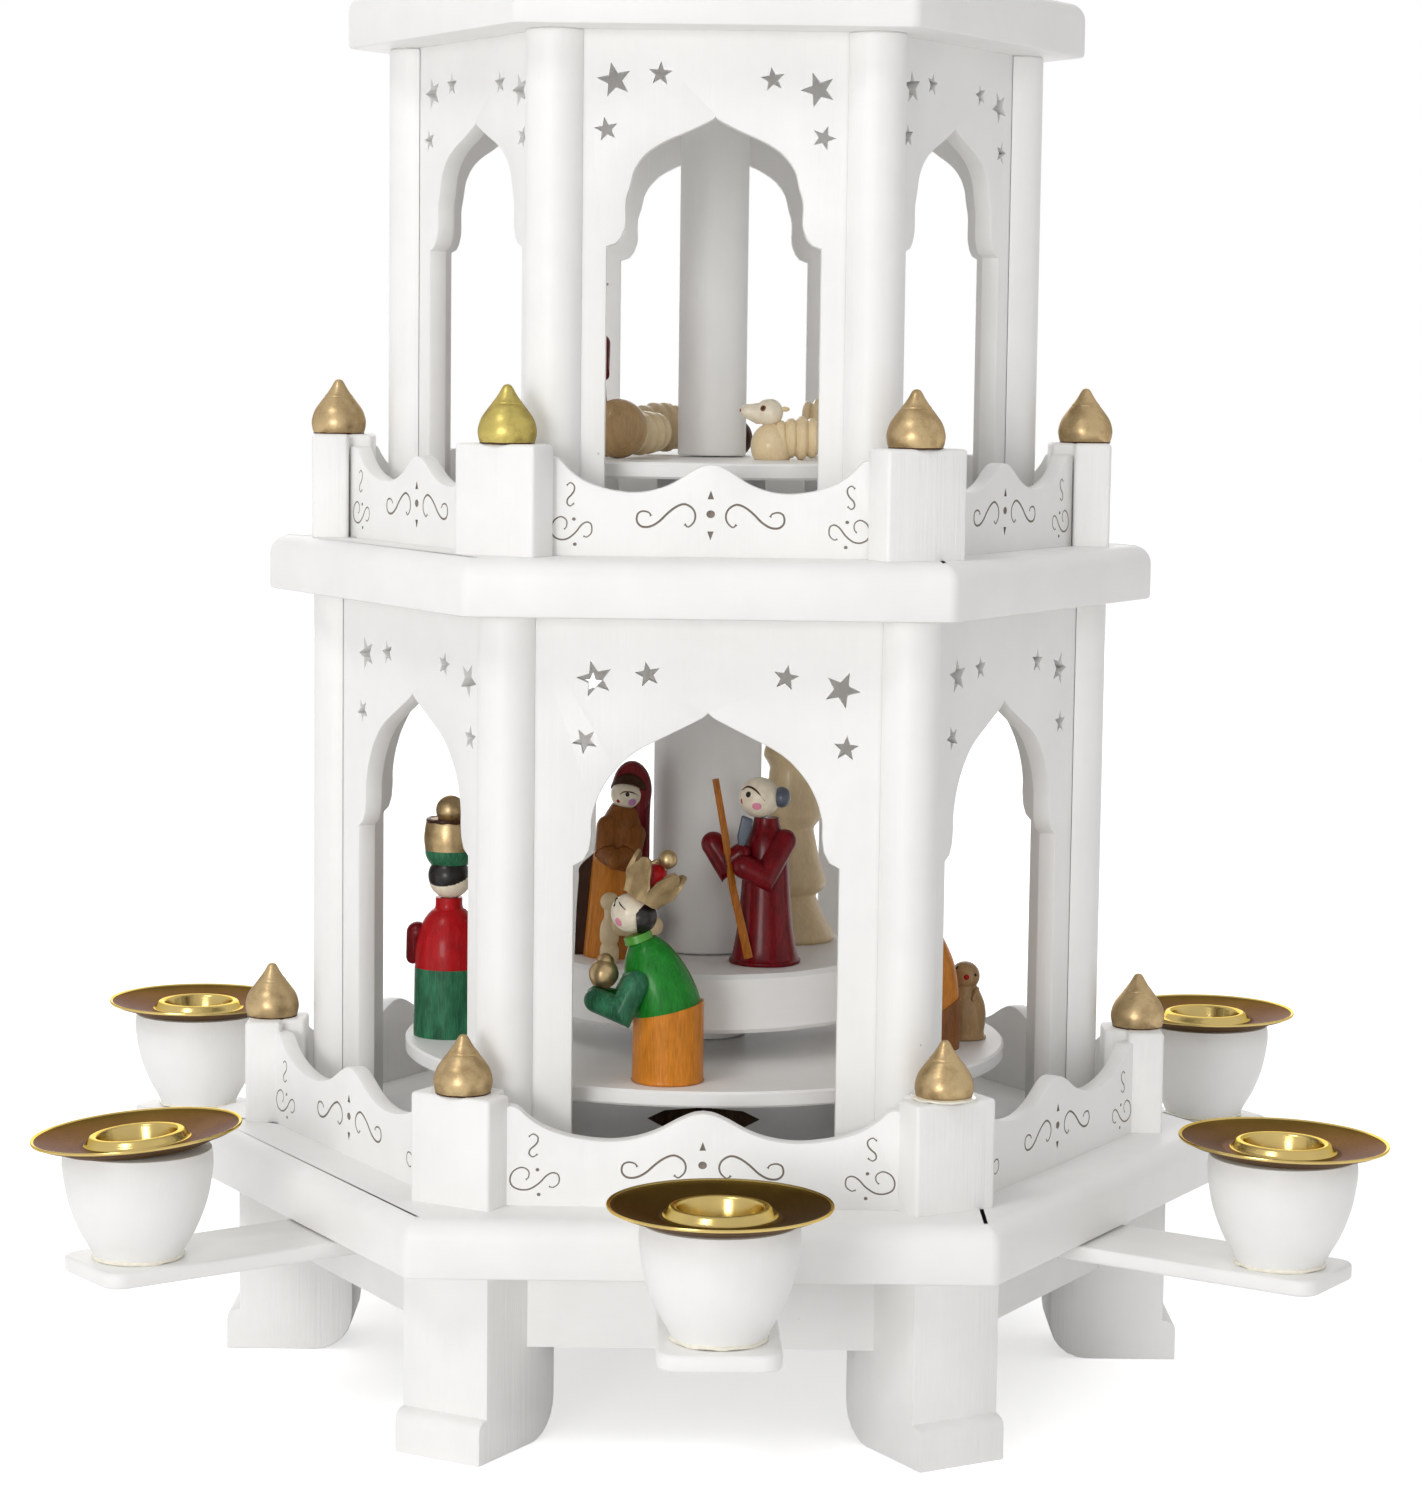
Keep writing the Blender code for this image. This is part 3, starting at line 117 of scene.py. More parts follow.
# Engraved lines, as (across, up) from the foot of the board's middle
SCROLL = (
    (6.1, 7.1), (5.2, 6.5), (3.9, 7.6), (3.6, 9.1), (4.3, 10.5), (6.1, 11.4), (8.1, 10.8), (10.1, 9.4),
    (12.1, 7.6), (14.2, 6.5), (16.2, 6.5), (17.3, 7.6), (17.1, 9.2), (15.9, 9.8), (14.5, 9.5), (14.0, 8.8),
)
END_CURL = (
    (37.3, 15.1), (36.4, 15.7), (35.4, 15.1), (35.4, 14.0), (36.1, 13.1), (37.0, 12.3), (37.2, 11.3),
    (36.4, 10.7), (35.4, 11.3),
)
END_SCROLL = (
    (32.9, 4.3), (32.0, 4.1), (30.8, 5.1), (30.9, 6.8), (32.1, 7.3), (33.5, 6.6), (35.0, 5.0), (37.0, 3.7),
    (39.0, 3.5), (40.8, 4.3), (41.3, 5.9), (40.5, 7.6), (38.7, 8.4), (37.3, 7.6), (37.3, 6.3), (37.9, 5.7),
)
END_DOTS = ((35.4, 7.9), (35.1, 2.5))

# Gap that keeps a piece off its neighbour, and the overrun of a cutter
FIT = 0.02
OVERRUN = 2.0
PANEL_THICK = 4.4
BOARD_THICK = 4.0
DISC_THICK = 3.6
POST_HEIGHT = 23.9
# Feet of the figures on the pedestal and on the lower disc
PEDESTAL_TOP = 96.35
LOWER_TOP = 75.65
BLADES = 12
# Plates: name, corner radius, hole radius, sides of the hole
PLATES = (
    ("base_plate", 125.1, 13.5, 8), ("second_deck", 104.4, 14.25, 40), ("third_deck", 86.0, 9.5, 40),
    ("roof_plate", 68.0, 5.3, 32),
)
ARM_TURNS = tuple(math.radians(turn) for turn in (30.5, 90.0, 150.5, 216.3, 271.4, 326.5))
DISH_TILTS = (0.0, 0.0, 0.0, 5.2, 0.0, -1.5)
CUP_RING = 151.0
CUP_LINE = ((9.4, 0.0), (9.7, 0.6), (10.6, 2.4), (12.9, 6.6), (15.0, 12.4), (16.1, 18.6), (16.2, 21.4), (15.9, 23.6))


# Shapes

def turned(profile, steps=48, closed=False):
    """Turns (radius, height) points about Z. A closed profile leaves a hole at the axis."""
    bm = bmesh.new()
    verts = [bm.verts.new((radius, 0.0, height)) for radius, height in profile]
    pairs = list(zip(verts, verts[1:]))
    if closed:
        pairs.append((verts[-1], verts[0]))
    edges = [bm.edges.new(pair) for pair in pairs]
    bmesh.ops.spin(
        bm, geom=verts + edges, cent=(0, 0, 0), axis=(0, 0, 1), angle=math.tau, steps=steps, use_merge=True
    )
    bmesh.ops.remove_doubles(bm, verts=bm.verts[:], dist=WELD)
    bmesh.ops.recalc_face_normals(bm, faces=bm.faces[:])
    return bm


def slab(points, span):
    """A flat outline of 3D points, extruded along a vector."""
    bm = bmesh.new()
    face = bm.faces.new([bm.verts.new(point) for point in points])
    extruded = bmesh.ops.extrude_face_region(bm, geom=[face])
    moved = [item for item in extruded["geom"] if isinstance(item, bmesh.types.BMVert)]
    bmesh.ops.translate(bm, verts=moved, vec=span)
    bmesh.ops.recalc_face_normals(bm, faces=bm.faces[:])
    return bm


def block(low, high):
    """A block between two corners."""
    size = [b - a for a, b in zip(low, high)]
    middle = [(a + b) / 2 for a, b in zip(low, high)]
    bm = bmesh.new()
    bmesh.ops.create_cube(bm, size=1.0, matrix=Matrix.Translation(middle) @ Matrix.Diagonal((*size, 1.0)))
    return bm


def put(bm, matrix):
    """Moves a whole shape."""
    bmesh.ops.transform(bm, matrix=matrix, verts=bm.verts[:])
    return bm


def at(bm, x, y, z=0.0, turn=0.0):
    """Turns a shape about Z and moves it to its place."""
    return put(bm, Matrix.Translation((x, y, z)) @ Matrix.Rotation(turn, 4, "Z"))


def merge(target, other):
    """Adds a shape to another."""
    mesh = bpy.data.meshes.new("merged")
    other.to_mesh(mesh)
    other.free()
    target.from_mesh(mesh)
    bpy.data.meshes.remove(mesh)
    return target


def around(bm, turns):
    """Copies of a shape at angles about Z, as one shape."""
    whole = bmesh.new()
    for turn in turns:
        merge(whole, put(bm.copy(), Matrix.Rotation(turn, 4, "Z")))
    bm.free()
    return whole


def soften(bm, width, segments=2, pick=None):
    """Rounds the sharp edges of a shape, or those of them that pick says."""
    edges = [
        edge for edge in bm.edges
        if edge.is_manifold and edge.calc_face_angle() > SHARP and (pick is None or pick(edge))
    ]
    bmesh.ops.bevel(
        bm, geom=edges, offset=width, segments=segments, profile=0.5, affect="EDGES", material=-1
    )
    return bm


def upright(edge):
    """Says if an edge is vertical."""
    first, second = (vert.co for vert in edge.verts)
    return abs(first.x - second.x) < WELD and abs(first.y - second.y) < WELD


def smooth_line(points, steps=5):
    """A smooth line through points, as 3D vectors."""
    knots = [Vector(point).to_3d() for point in points]
    ends = [knots[0] * 2 - knots[1]] + knots + [knots[-1] * 2 - knots[-2]]
    line = []
    for before, start, end, after in zip(ends, ends[1:], ends[2:], ends[3:]):
        reach_out = start + (end - before) / 6
        reach_in = end - (after - start) / 6
        line += geometry.interpolate_bezier(start, reach_out, reach_in, end, steps + 1)[:-1]
    line.append(knots[-1])
    return line


def smooth_profile(points, steps=4):
    """A smooth (radius, height) profile."""
    return [(max(point.x, 0.0), point.y) for point in smooth_line(points, steps)]


def linked(name, data):
    """A new object in the scene's own collection."""
    holder = bpy.data.objects.new(name, data)
    bpy.context.scene.collection.objects.link(holder)
    return holder


def evaluated(holder):
    """The evaluated mesh of an object as a shape."""
    bm = bmesh.new()
    bpy.context.view_layer.update()
    graph = bpy.context.evaluated_depsgraph_get()
    mesh = bpy.data.meshes.new_from_object(holder.evaluated_get(graph), depsgraph=graph)
    bm.from_mesh(mesh)
    bpy.data.meshes.remove(mesh)
    return bm


def discard(holder):
    """Removes an object and its data."""
    data = holder.data
    bpy.data.objects.remove(holder, do_unlink=True)
    if isinstance(data, bpy.types.Mesh):
        bpy.data.meshes.remove(data)
    else:
        bpy.data.curves.remove(data)


def carve(bm, cutter, wall=0):
    """Cuts a shape out of another. The walls of the cut get the material index wall."""
    for face in cutter.faces:
        face.material_index = wall
    holders = []
    for name, source in (("carved", bm), ("cutter", cutter)):
        mesh = bpy.data.meshes.new(name)
        source.to_mesh(mesh)
        source.free()
        mesh.materials.append(None)
        mesh.materials.append(None)
        holders.append(linked(name, mesh))
    carved, tool = holders
    modifier = carved.modifiers.new("carve", "BOOLEAN")
    modifier.operation = "DIFFERENCE"
    modifier.solver = "EXACT"
    modifier.object = tool
    result = evaluated(carved)
    discard(carved)
    discard(tool)
    return result


def stroke(points, radii, resolution=2):
    """A round stroke along points, with a radius at each."""
    curve = bpy.data.curves.new("stroke", "CURVE")
    curve.dimensions = "3D"
    curve.bevel_depth = 1.0
    curve.bevel_resolution = resolution
    curve.use_fill_caps = True
    spline = curve.splines.new("POLY")
    spline.points.add(len(points) - 1)
    for knot, point, radius in zip(spline.points, points, radii):
        knot.co = (*point, 1.0)
        knot.radius = radius
    holder = linked("stroke", curve)
    bm = evaluated(holder)
    discard(holder)
    bmesh.ops.remove_doubles(bm, verts=bm.verts[:], dist=WELD)
    bmesh.ops.recalc_face_normals(bm, faces=bm.faces[:])
    return bm


def ball(centre, radius, stretch=(1.0, 1.0, 1.0), steps=32):
    """A turned ball or egg."""
    bm = bmesh.new()
    bmesh.ops.create_uvsphere(bm, u_segments=steps, v_segments=steps // 2, radius=radius)
    return put(bm, Matrix.Translation(centre) @ Matrix.Diagonal((*stretch, 1.0)))


def keep_side(bm, point, normal):
    """Cuts a shape with a plane and keeps the side its normal points to."""
    geom = bm.verts[:] + bm.edges[:] + bm.faces[:]
    bmesh.ops.bisect_plane(bm, geom=geom, plane_co=point, plane_no=normal, clear_inner=True, dist=WELD / 10)
    rim = [edge for edge in bm.edges if edge.is_boundary]
    bmesh.ops.holes_fill(bm, edges=rim, sides=0)
    return bm


def along(bm, start, end):
    """Lays a shape that stands on Z from start towards end."""
    way = Vector(end) - Vector(start)
    turn = Vector((0, 0, 1)).rotation_difference(way).to_matrix().to_4x4()
    return put(bm, Matrix.Translation(start) @ turn)


def dowel(start, end, first, last, steps=24):
    """A round-ended dowel between the centres of its ends, with a radius at each."""
    length = (Vector(end) - Vector(start)).length
    low = [(first * math.sin(angle), -first * math.cos(angle)) for angle in QUARTER]
    high = [(last * math.cos(angle), length + last * math.sin(angle)) for angle in QUARTER]
    return along(turned(low + high, steps), start, end)


def bent_arm(shoulder, elbow, hand, upper, fore):
    """An arm of two dowels, mitred at the elbow. Shoulder and hand are the centres of its round ends."""
    corner = Vector(elbow)
    to_shoulder = (Vector(shoulder) - corner).normalized()
    to_hand = (Vector(hand) - corner).normalized()
    mitre = (to_shoulder - to_hand).normalized()
    elbow_radius = (upper + fore) / 2
    whole = bmesh.new()
    for end, way, radius, side in ((shoulder, to_shoulder, upper, 1), (hand, to_hand, fore, -1)):
        past = corner - way * elbow_radius * 3
        half = dowel(past, end, elbow_radius, radius)
        merge(whole, keep_side(half, corner, mitre * side))
    return whole


def on_ball(centre, radius, x, z, facing=-1.0):
    """The point of a ball's surface that is seen at x and z."""
    dx, dz = x - centre[0], z - centre[2]
    depth = math.sqrt(max(radius * radius - dx * dx - dz * dz, 0.01))
    return Vector((x, centre[1] + facing * depth, z))


def dab(centre, radius, x, z, half_wide, half_high, turn=0.0, proud=0.12, facing=-1.0):
    """A dab of thick paint that follows a ball's surface."""
    bm = bmesh.new()
    bmesh.ops.create_uvsphere(bm, u_segments=20, v_segments=10, radius=1.0)
    origin = Vector(centre)
    out = (on_ball(centre, radius, x, z, facing) - origin).normalized()
    side = Vector((0, 0, 1)).cross(out).normalized()
    rise = out.cross(side)
    for vert in bm.verts:
        across, up, height = vert.co
        across *= half_wide
        up *= half_high
        spread = side * (across * math.cos(turn) - up * math.sin(turn))
        spread += rise * (across * math.sin(turn) + up * math.cos(turn))
        vert.co = origin + (out * radius + spread).normalized() * (radius + height * proud)
    return bm


def lash(centre, radius, marks, widths, facing=-1.0):
    """A painted line on a ball through (x, z) marks."""
    line = smooth_line([on_ball(centre, radius, x, z, facing) for x, z in marks], 4)
    count = len(line) - 1
    spans = len(widths) - 1
    radii = []
    for index in range(len(line)):
        place = index / count * spans
        low = min(int(place), spans - 1)
        radii.append(widths[low] + (widths[low + 1] - widths[low]) * (place - low))
    return stroke(line, radii)


def ruffle(bm, amount, scale, seed=0.0):
    """Makes a shape uneven, as cut or squeezed by hand."""
    for vert in bm.verts:
        vert.co += noise.noise_vector(vert.co * scale + Vector((seed, seed, seed))) * amount
    return bm


def mirrored(points):
    """The points and their mirror images, from right to left. The last point lies on the middle."""
    return list(points) + [(-across, up) for across, up in reversed(points[:-1])]


# Finishes

SPECK = "8B8178"


def linear(code):
    """Linear colour from an sRGB hex code."""
    values = [int(code[index:index + 2], 16) / 255 for index in (0, 2, 4)]
    return tuple(v / 12.92 if v <= 0.04045 else ((v + 0.055) / 1.055) ** 2.4 for v in values)


def colour(code, name, description):
    """A colour property with its default from a hex code."""
    return bpy.props.FloatVectorProperty(
        name=name, description=description, default=linear(code), subtype="COLOR", size=3, min=0.0, max=1.0
    )


class CarouselColours(bpy.types.PropertyGroup):
    """Colours of the paints, stains and metals."""
    white: colour("F3F2F0", "White paint", "Brushed satin white of the frame")
    shadow_wood: colour("5A4636", "Raw edge", "Unpainted wood in holes and joints")
    scorch: colour("8C8177", "Engraving", "Scorched floor of the engraved lines")
    gold: colour("B8A078", "Gold paint", "Bronze-gold paint of finials and crowns")
    yellow_gold: colour("BDAC62", "Yellow gold", "Yellower gold of one finial that was painted again")
    brass: colour("CDB472", "Brass", "Bright rims and collars of the drip dishes")
    # Dish faces: brass darkened to paint the reflection of a dark room, which the white surround does not give
    aged_brass: colour("715B29", "Aged brass", "Darkened faces of the drip dishes")
    steel: colour("BFC1C3", "Steel", "Drawn steel of the shaft")
    bare: colour("C69A63", "Bare wood", "Unpainted wood of the bearing bridge")
    natural: colour("E0CAA2", "Pale wood", "Clear varnished turned wood")
    tan: colour("B39267", "Tan", "Darker varnished wood of the lamb and of one sheep")
    cream: colour("EFE3CC", "Cream", "Cream paint of heads and lambs")
    dark_red: colour("680610", "Dark red", "Dark red stain")
    red: colour("A80A12", "Red", "Bright red stain")
    green: colour("167420", "Green", "Glossy green stain")
    deep_green: colour("2A6446", "Deep green", "Green stain that shows the grain")
    lime: colour("4F9A33", "Lime", "Light green of collar and cuff")
    orange: colour("C67A24", "Orange brown", "Orange-brown stain")
    amber: colour("A5621C", "Amber", "Amber stain of the staff")
    brown: colour("85501F", "Brown", "Brown stain")
    dark_brown: colour("3E2414", "Dark brown", "Dark brown stain and hair")
    black: colour("1B1715", "Black", "Black enamel of hair and eyes")
    slate: colour("59616D", "Slate", "Slate grey enamel of beard and hair")
    pink: colour("E58FA8", "Pink", "Cheeks")
    violet: colour("C98AC0", "Violet pink", "Violet-pink cheeks")
    glue: colour("F4EFE0", "Glue", "Set glue squeezed out of the joints")


class CarouselSizes(bpy.types.PropertyGroup):
    """Sizes that change the look of the details, in millimetres."""
    plate_round: bpy.props.FloatProperty(
        name="Plate edge", description="Rounding of the plates' top edges, in mm", default=4.4, min=0.5, max=6.0
    )
    arris: bpy.props.FloatProperty(
        name="Arris", description="Softness of painted edges, in mm", default=0.45, min=0.1, max=1.0
    )
    post_round: bpy.props.FloatProperty(
        name="Post edge", description="Rounding of the posts' edges, in mm", default=0.85, min=0.2, max=1.5
    )
    engraving: bpy.props.FloatProperty(
        name="Engraving", description="Width of the engraved lines, in mm", default=0.5, min=0.2, max=1.0
    )
    joint: bpy.props.FloatProperty(
        name="Joint", description="Open joint beside the panels, in mm", default=0.16, min=0.05, max=0.4
    )
    dish_radius: bpy.props.FloatProperty(
        name="Dish radius", description="Radius of the drip dishes, in mm", default=22.75, min=18.0, max=22.75
    )


def wire(tree, item, links):
    """Fills a node's sockets with values or with other nodes' outputs."""
    for key, value in links.items():
        if isinstance(value, bpy.types.NodeSocket):
            tree.links.new(value, item.inputs[key])
        else:
            item.inputs[key].default_value = value


def node(tree, kind, links=None, **settings):
    """Adds a node with its links and its properties."""
    item = tree.nodes.new(kind)
    for key, value in settings.items():
        setattr(item, key, value)
    wire(tree, item, links or {})
    return item


def calc(tree, operation, *values):
    """Result of a sum on values or outputs."""
    return node(tree, "ShaderNodeMath", dict(enumerate(values)), operation=operation).outputs[0]


def flow_vector(tree, flow, fine, coarse):
    """Object coordinates stretched along a brush or grain direction. Fine and coarse are streaks per metre."""
    place = node(tree, "ShaderNodeTexCoord").outputs["Object"]
    if flow == "round":
        parts = node(tree, "ShaderNodeSeparateXYZ", {0: place}).outputs
        squares = [calc(tree, "MULTIPLY", parts[axis], parts[axis]) for axis in ("X", "Y")]
        radius = calc(tree, "SQRT", calc(tree, "ADD", *squares))
        place = node(tree, "ShaderNodeCombineXYZ", {"X": radius, "Y": parts["Z"], "Z": parts["X"]}).outputs[0]
    scales = {
        "upright": (fine, fine, coarse), "round": (fine, fine, coarse), "along_x": (coarse, fine, fine),
        "even": (fine, fine, fine),
    }[flow]
    return node(tree, "ShaderNodeMapping", {"Vector": place, "Scale": scales}).outputs[0]


def clouds(tree, flow, fine, coarse, detail, roughness):
    """Noise along a brush or grain direction, in streaks per metre."""
    return node(tree, "ShaderNodeTexNoise", {
        "Vector": flow_vector(tree, flow, fine, coarse), "Scale": 1.0, "Detail": detail, "Roughness": roughness,
    }).outputs["Fac"]


def cells(tree, fine):
    """Scattered cells, so many per metre."""
    return node(tree, "ShaderNodeTexVoronoi", {
        "Vector": flow_vector(tree, "even", fine, fine), "Scale": 1.0, "Randomness": 1.0}).outputs


def label(name):
    """A material's own name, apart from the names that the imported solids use."""
    return name.replace("_", " ")


def start_material(name):
    """A new material with its tree and its Principled BSDF."""
    material = bpy.data.materials.new(label(name))
    material.use_nodes = True
    tree = material.node_tree
    return material, tree, tree.nodes["Principled BSDF"]


def over(tree, factor, under, tone):
    """Lays a colour over a colour or over another socket's colour, by a factor."""
    mix = node(tree, "ShaderNodeMix", {"Factor": factor}, data_type="RGBA")
    under = under if isinstance(under, bpy.types.NodeSocket) else (*under, 1.0)
    wire(tree, mix, {"A": under, "B": (*tone, 1.0)})
    return mix.outputs["Result"]


def ramp(tree, factor, low, high):
    """Stretches a factor between two marks to 0..1."""
    return node(tree, "ShaderNodeMapRange", {"Value": factor, "From Min": low, "From Max": high}).outputs["Result"]


def between(tree, factor, low, high):
    """Spreads a factor of 0..1 between two values."""
    return node(tree, "ShaderNodeMapRange", {"Value": factor, "To Min": low, "To Max": high}).outputs["Result"]


def bumped(tree, height, strength, depth):
    """Normal of a fine relief. The depth is in metres."""
    return node(tree, "ShaderNodeBump", {"Height": height, "Strength": strength, "Distance": depth}).outputs["Normal"]


def shaded(tone, share):
    """A colour multiplied by a share."""
    return tuple(v * share for v in tone)


def lifted(tone, share, more):
    """A colour multiplied by a share and raised, up to white."""
    return tuple(min(v * share + more, 1.0) for v in tone)


def brushed_paint(name, base, flow, relief=0.32):
    """Satin white emulsion brushed on wood: faint streaks, raised grain and a few specks."""
    material, tree, shader = start_material(name)
    streaks = clouds(tree, flow, 1500.0, 60.0, 4.0, 0.6)
    grain = clouds(tree, flow, 320.0, 9.0, 2.0, 0.5)
    patches = clouds(tree, "even", 45.0, 45.0, 3.0, 0.6)
    specks = cells(tree, 85.0)
    shade = over(tree, ramp(tree, patches, 0.35, 0.7), base, shaded(base, 0.955))
    speck = ramp(tree, specks["Distance"], 0.028, 0.014)
    rare = ramp(tree, node(tree, "ShaderNodeSeparateColor", {0: specks["Color"]}).outputs[0], 0.8, 0.82)
    faint = calc(tree, "MULTIPLY", calc(tree, "MULTIPLY", speck, rare), 0.45)
    wire(tree, shader, {
        "Base Color": over(tree, faint, shade, linear(SPECK)),
        "Roughness": between(tree, streaks, 0.4, 0.56),
        "Normal": bumped(tree, calc(tree, "ADD", streaks, calc(tree, "MULTIPLY", grain, 1.4)), relief, 0.00012),
    })
    return material


def stained_wood(name, base, coat, spread=0.35, flow="upright"):
    """Stained and varnished limewood: dark pores and cloudy stain under a lumpy clear coat, with pale flecks in the
    grain that are painted glints of light.
    """
    material, tree, shader = start_material(name)
    pores = clouds(tree, flow, 2600.0, 260.0, 3.0, 0.62)
    cloud = clouds(tree, flow, 430.0, 150.0, 3.0, 0.6)
    lumps = clouds(tree, "even", 620.0, 620.0, 2.0, 0.5)
    both = calc(tree, "ADD", pores, cloud)
    shade = over(tree, ramp(tree, both, 0.75, 1.25), shaded(base, 1 - spread), lifted(base, 1 + spread, 0.003))
    # Painted glints: the highest grain is lifted far above the stain, as pale flecks of light on the coat
    shade = over(tree, ramp(tree, pores, 0.62, 0.82), shade, lifted(base, 1 + 2 * spread, 0.02 * spread))
    wire(tree, shader, {
        "Base Color": shade, "Normal": bumped(tree, calc(tree, "ADD", both, lumps), 0.35, 0.00014),
        "Roughness": 0.36, "Specular IOR Level": 0.12, "Coat Weight": coat, "Coat Roughness": 0.16,
    })
    return material


def enamel(name, base, gloss):
    """Hand-laid enamel or set glue: slightly lumpy, with a soft shift of tone."""
    material, tree, shader = start_material(name)
    lumps = clouds(tree, "even", 700.0, 700.0, 2.0, 0.5)
    wire(tree, shader, {
        "Base Color": over(tree, ramp(tree, lumps, 0.3, 0.7), shaded(base, 0.86), base),
        "Normal": bumped(tree, lumps, 0.2, 0.0001),
        "Roughness": gloss, "Specular IOR Level": 0.3, "Coat Weight": 0.15, "Coat Roughness": 0.12,
    })
    return material


def gold_paint(name, base):
    """Bronze-gold paint on wood: lumpy metal flakes in a satin binder, darker smudges, and painted glints where flake
    spots are lightened in the colour.
    """
    material, tree, shader = start_material(name)
    flakes = cells(tree, 2400.0)["Distance"]
    lumps = clouds(tree, "even", 1000.0, 1000.0, 4.0, 0.65)
    smudge = clouds(tree, "even", 230.0, 230.0, 4.0, 0.65)
    dark = (base[0] * 0.7, base[1] * 0.66, base[2] * 0.6)
    shade = over(tree, ramp(tree, smudge, 0.68, 0.45), dark, base)
    # Painted glints: the middle of each flake is lightened towards a pale gold, as if it caught the light
    painted_glint = calc(tree, "MULTIPLY", ramp(tree, flakes, 0.3, 0.02), 0.3)
    wire(tree, shader, {
        "Base Color": over(tree, painted_glint, shade, lifted(base, 1.7, 0.05)),
        "Roughness": between(tree, flakes, 0.3, 0.42), "Normal": bumped(tree, lumps, 0.3, 0.00012),
        "Metallic": 0.8, "Specular Tint": (0.52, 0.46, 0.42, 1.0),
    })
    return material


def sheet_metal(name, base, roughness, flow="even", edge="FFFFFF"):
    """Polished metal with fine turning marks. The edge tint is its colour at a glancing angle."""
    material, tree, shader = start_material(name)
    marks = clouds(tree, flow, 1400.0, 25.0, 3.0, 0.6)
    cloud = clouds(tree, "even", 90.0, 90.0, 2.0, 0.5)
    wire(tree, shader, {
        "Base Color": over(tree, ramp(tree, cloud, 0.35, 0.7), shaded(base, 0.8), base),
        "Roughness": between(tree, marks, roughness * 0.75, roughness * 1.3),
        "Normal": bumped(tree, cloud, 0.2, 0.0004),
        "Metallic": 1.0, "Specular Tint": (*linear(edge), 1.0),
    })
    return material


# Each finish: how it is made, its colour, and how it is made differently
FINISHES = {
    "white_upright": (brushed_paint, "white", "upright", 0.45),
    "white_grain": (brushed_paint, "white", "upright", 1.0),
    "white_round": (brushed_paint, "white", "round"),
    "white_along": (brushed_paint, "white", "along_x"),
    "raw_edge": (stained_wood, "shadow_wood", 0.0),
    "scorched_line": (enamel, "scorch", 0.7),
    "gold_paint": (gold_paint, "gold"),
    "yellow_gold": (gold_paint, "yellow_gold"),
    "pressed_brass": (sheet_metal, "brass", 0.2, "even", "E8D5A0"),
    # Dish faces: darker brass that paints the reflection of a dark room
    "aged_brass": (sheet_metal, "aged_brass", 0.38, "even", "B8ACB8"),
    "drawn_steel": (sheet_metal, "steel", 0.25, "upright"),
    "bare_wood": (stained_wood, "bare", 0.0),
    "varnished_wood": (stained_wood, "natural", 0.3, 0.07),
    "tan_varnish": (stained_wood, "tan", 0.3, 0.14),
    "cream_enamel": (enamel, "cream", 0.3),
    "dark_red_stain": (stained_wood, "dark_red", 0.16, 0.35),
    "red_stain": (stained_wood, "red", 0.16, 0.22),
    "green_stain": (stained_wood, "green", 0.16, 0.3),
    "deep_green_stain": (stained_wood, "deep_green", 0.1, 0.42),
    "lime_enamel": (enamel, "lime", 0.35),
    "orange_stain": (stained_wood, "orange", 0.12, 0.2),
    "amber_stain": (stained_wood, "amber", 0.12, 0.25),
    "brown_stain": (stained_wood, "brown", 0.12, 0.25),
    "dark_brown_stain": (stained_wood, "dark_brown", 0.1, 0.3),
    "black_enamel": (enamel, "black", 0.38),
    "slate_enamel": (enamel, "slate", 0.35),
    "pink_enamel": (enamel, "pink", 0.4),
    "violet_enamel": (enamel, "violet", 0.4),
    "set_glue": (enamel, "glue", 0.2),
}


def finish(name):
    """The material of a finish, made when it is first asked for."""
    maker, tone, *settings = FINISHES[name]
    colours = bpy.context.scene.carousel_colours
    return bpy.data.materials.get(label(name)) or maker(name, getattr(colours, tone), *settings)


def make_piece(name, parts, body, nodes=()):
    """Joins (shape, finish or finishes) parts into one piece that rides on a body and stands for its nodes."""
    whole = bmesh.new()
    used = []
    for shape, names in parts:
        names = (names,) if isinstance(names, str) else names
        for item in names:
            if item not in used:
                used.append(item)
        for face in shape.faces:
            face.material_index = used.index(names[min(face.material_index, len(names) - 1)])
        merge(whole, shape)
    put(whole, Matrix.Scale(MM, 4))
    mesh = bpy.data.meshes.new(name)
    whole.to_mesh(mesh)
    whole.free()
    for item in used:
        mesh.materials.append(finish(item))
    mesh.shade_smooth()
    mesh.set_sharp_from_angle(angle=SHARP)
    piece = linked(name, mesh)
    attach(piece, body)
    if nodes:
        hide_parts(*nodes)
    return piece


def repeat(shape, turns, name, finishes, node_name):
    """Standing pieces of one shape at angles about Z. Braces in the node's name take the piece's number."""
    for index, turn in enumerate(turns):
        copy = put(shape.copy(), Matrix.Rotation(turn, 4, "Z"))
        number = index + 1
        make_piece(f"{name}_{number}", [(copy, finishes)], "stand", (node_name.format(number),))
    shape.free()


def sizes():
    """The sizes that a user may change."""
    return bpy.context.scene.carousel_sizes


# Plates, columns and panels

def make_plates():
    """Base, decks and roof, each with soft corners and a rounded top edge."""
    for name, radius, hole, hole_steps in PLATES:
        low, high = level(name, 0), level(name, 1)
        outline = [(radius * math.cos(turn), radius * math.sin(turn), low) for turn in CORNERS]
        plate = slab(outline, (0, 0, high - low))
        soften(plate, 1.6, 4, upright)
        soften(plate, sizes().plate_round, 6, lambda edge: min(vert.co.z for vert in edge.verts) > high - 0.01)
        soften(plate, 0.9, 2, lambda edge: max(vert.co.z for vert in edge.verts) < low + 0.01)
        cutter = turned([(0, low - OVERRUN), (hole, low - OVERRUN), (hole, high + OVERRUN),
            (0, high + OVERRUN)], hole_steps)
        plate = carve(plate, cutter, 1)
        inner = "raw_edge" if name == "base_plate" else "white_round"
        make_piece(name + "_painted", [(plate, ("white_along", inner))], "stand", (name,))


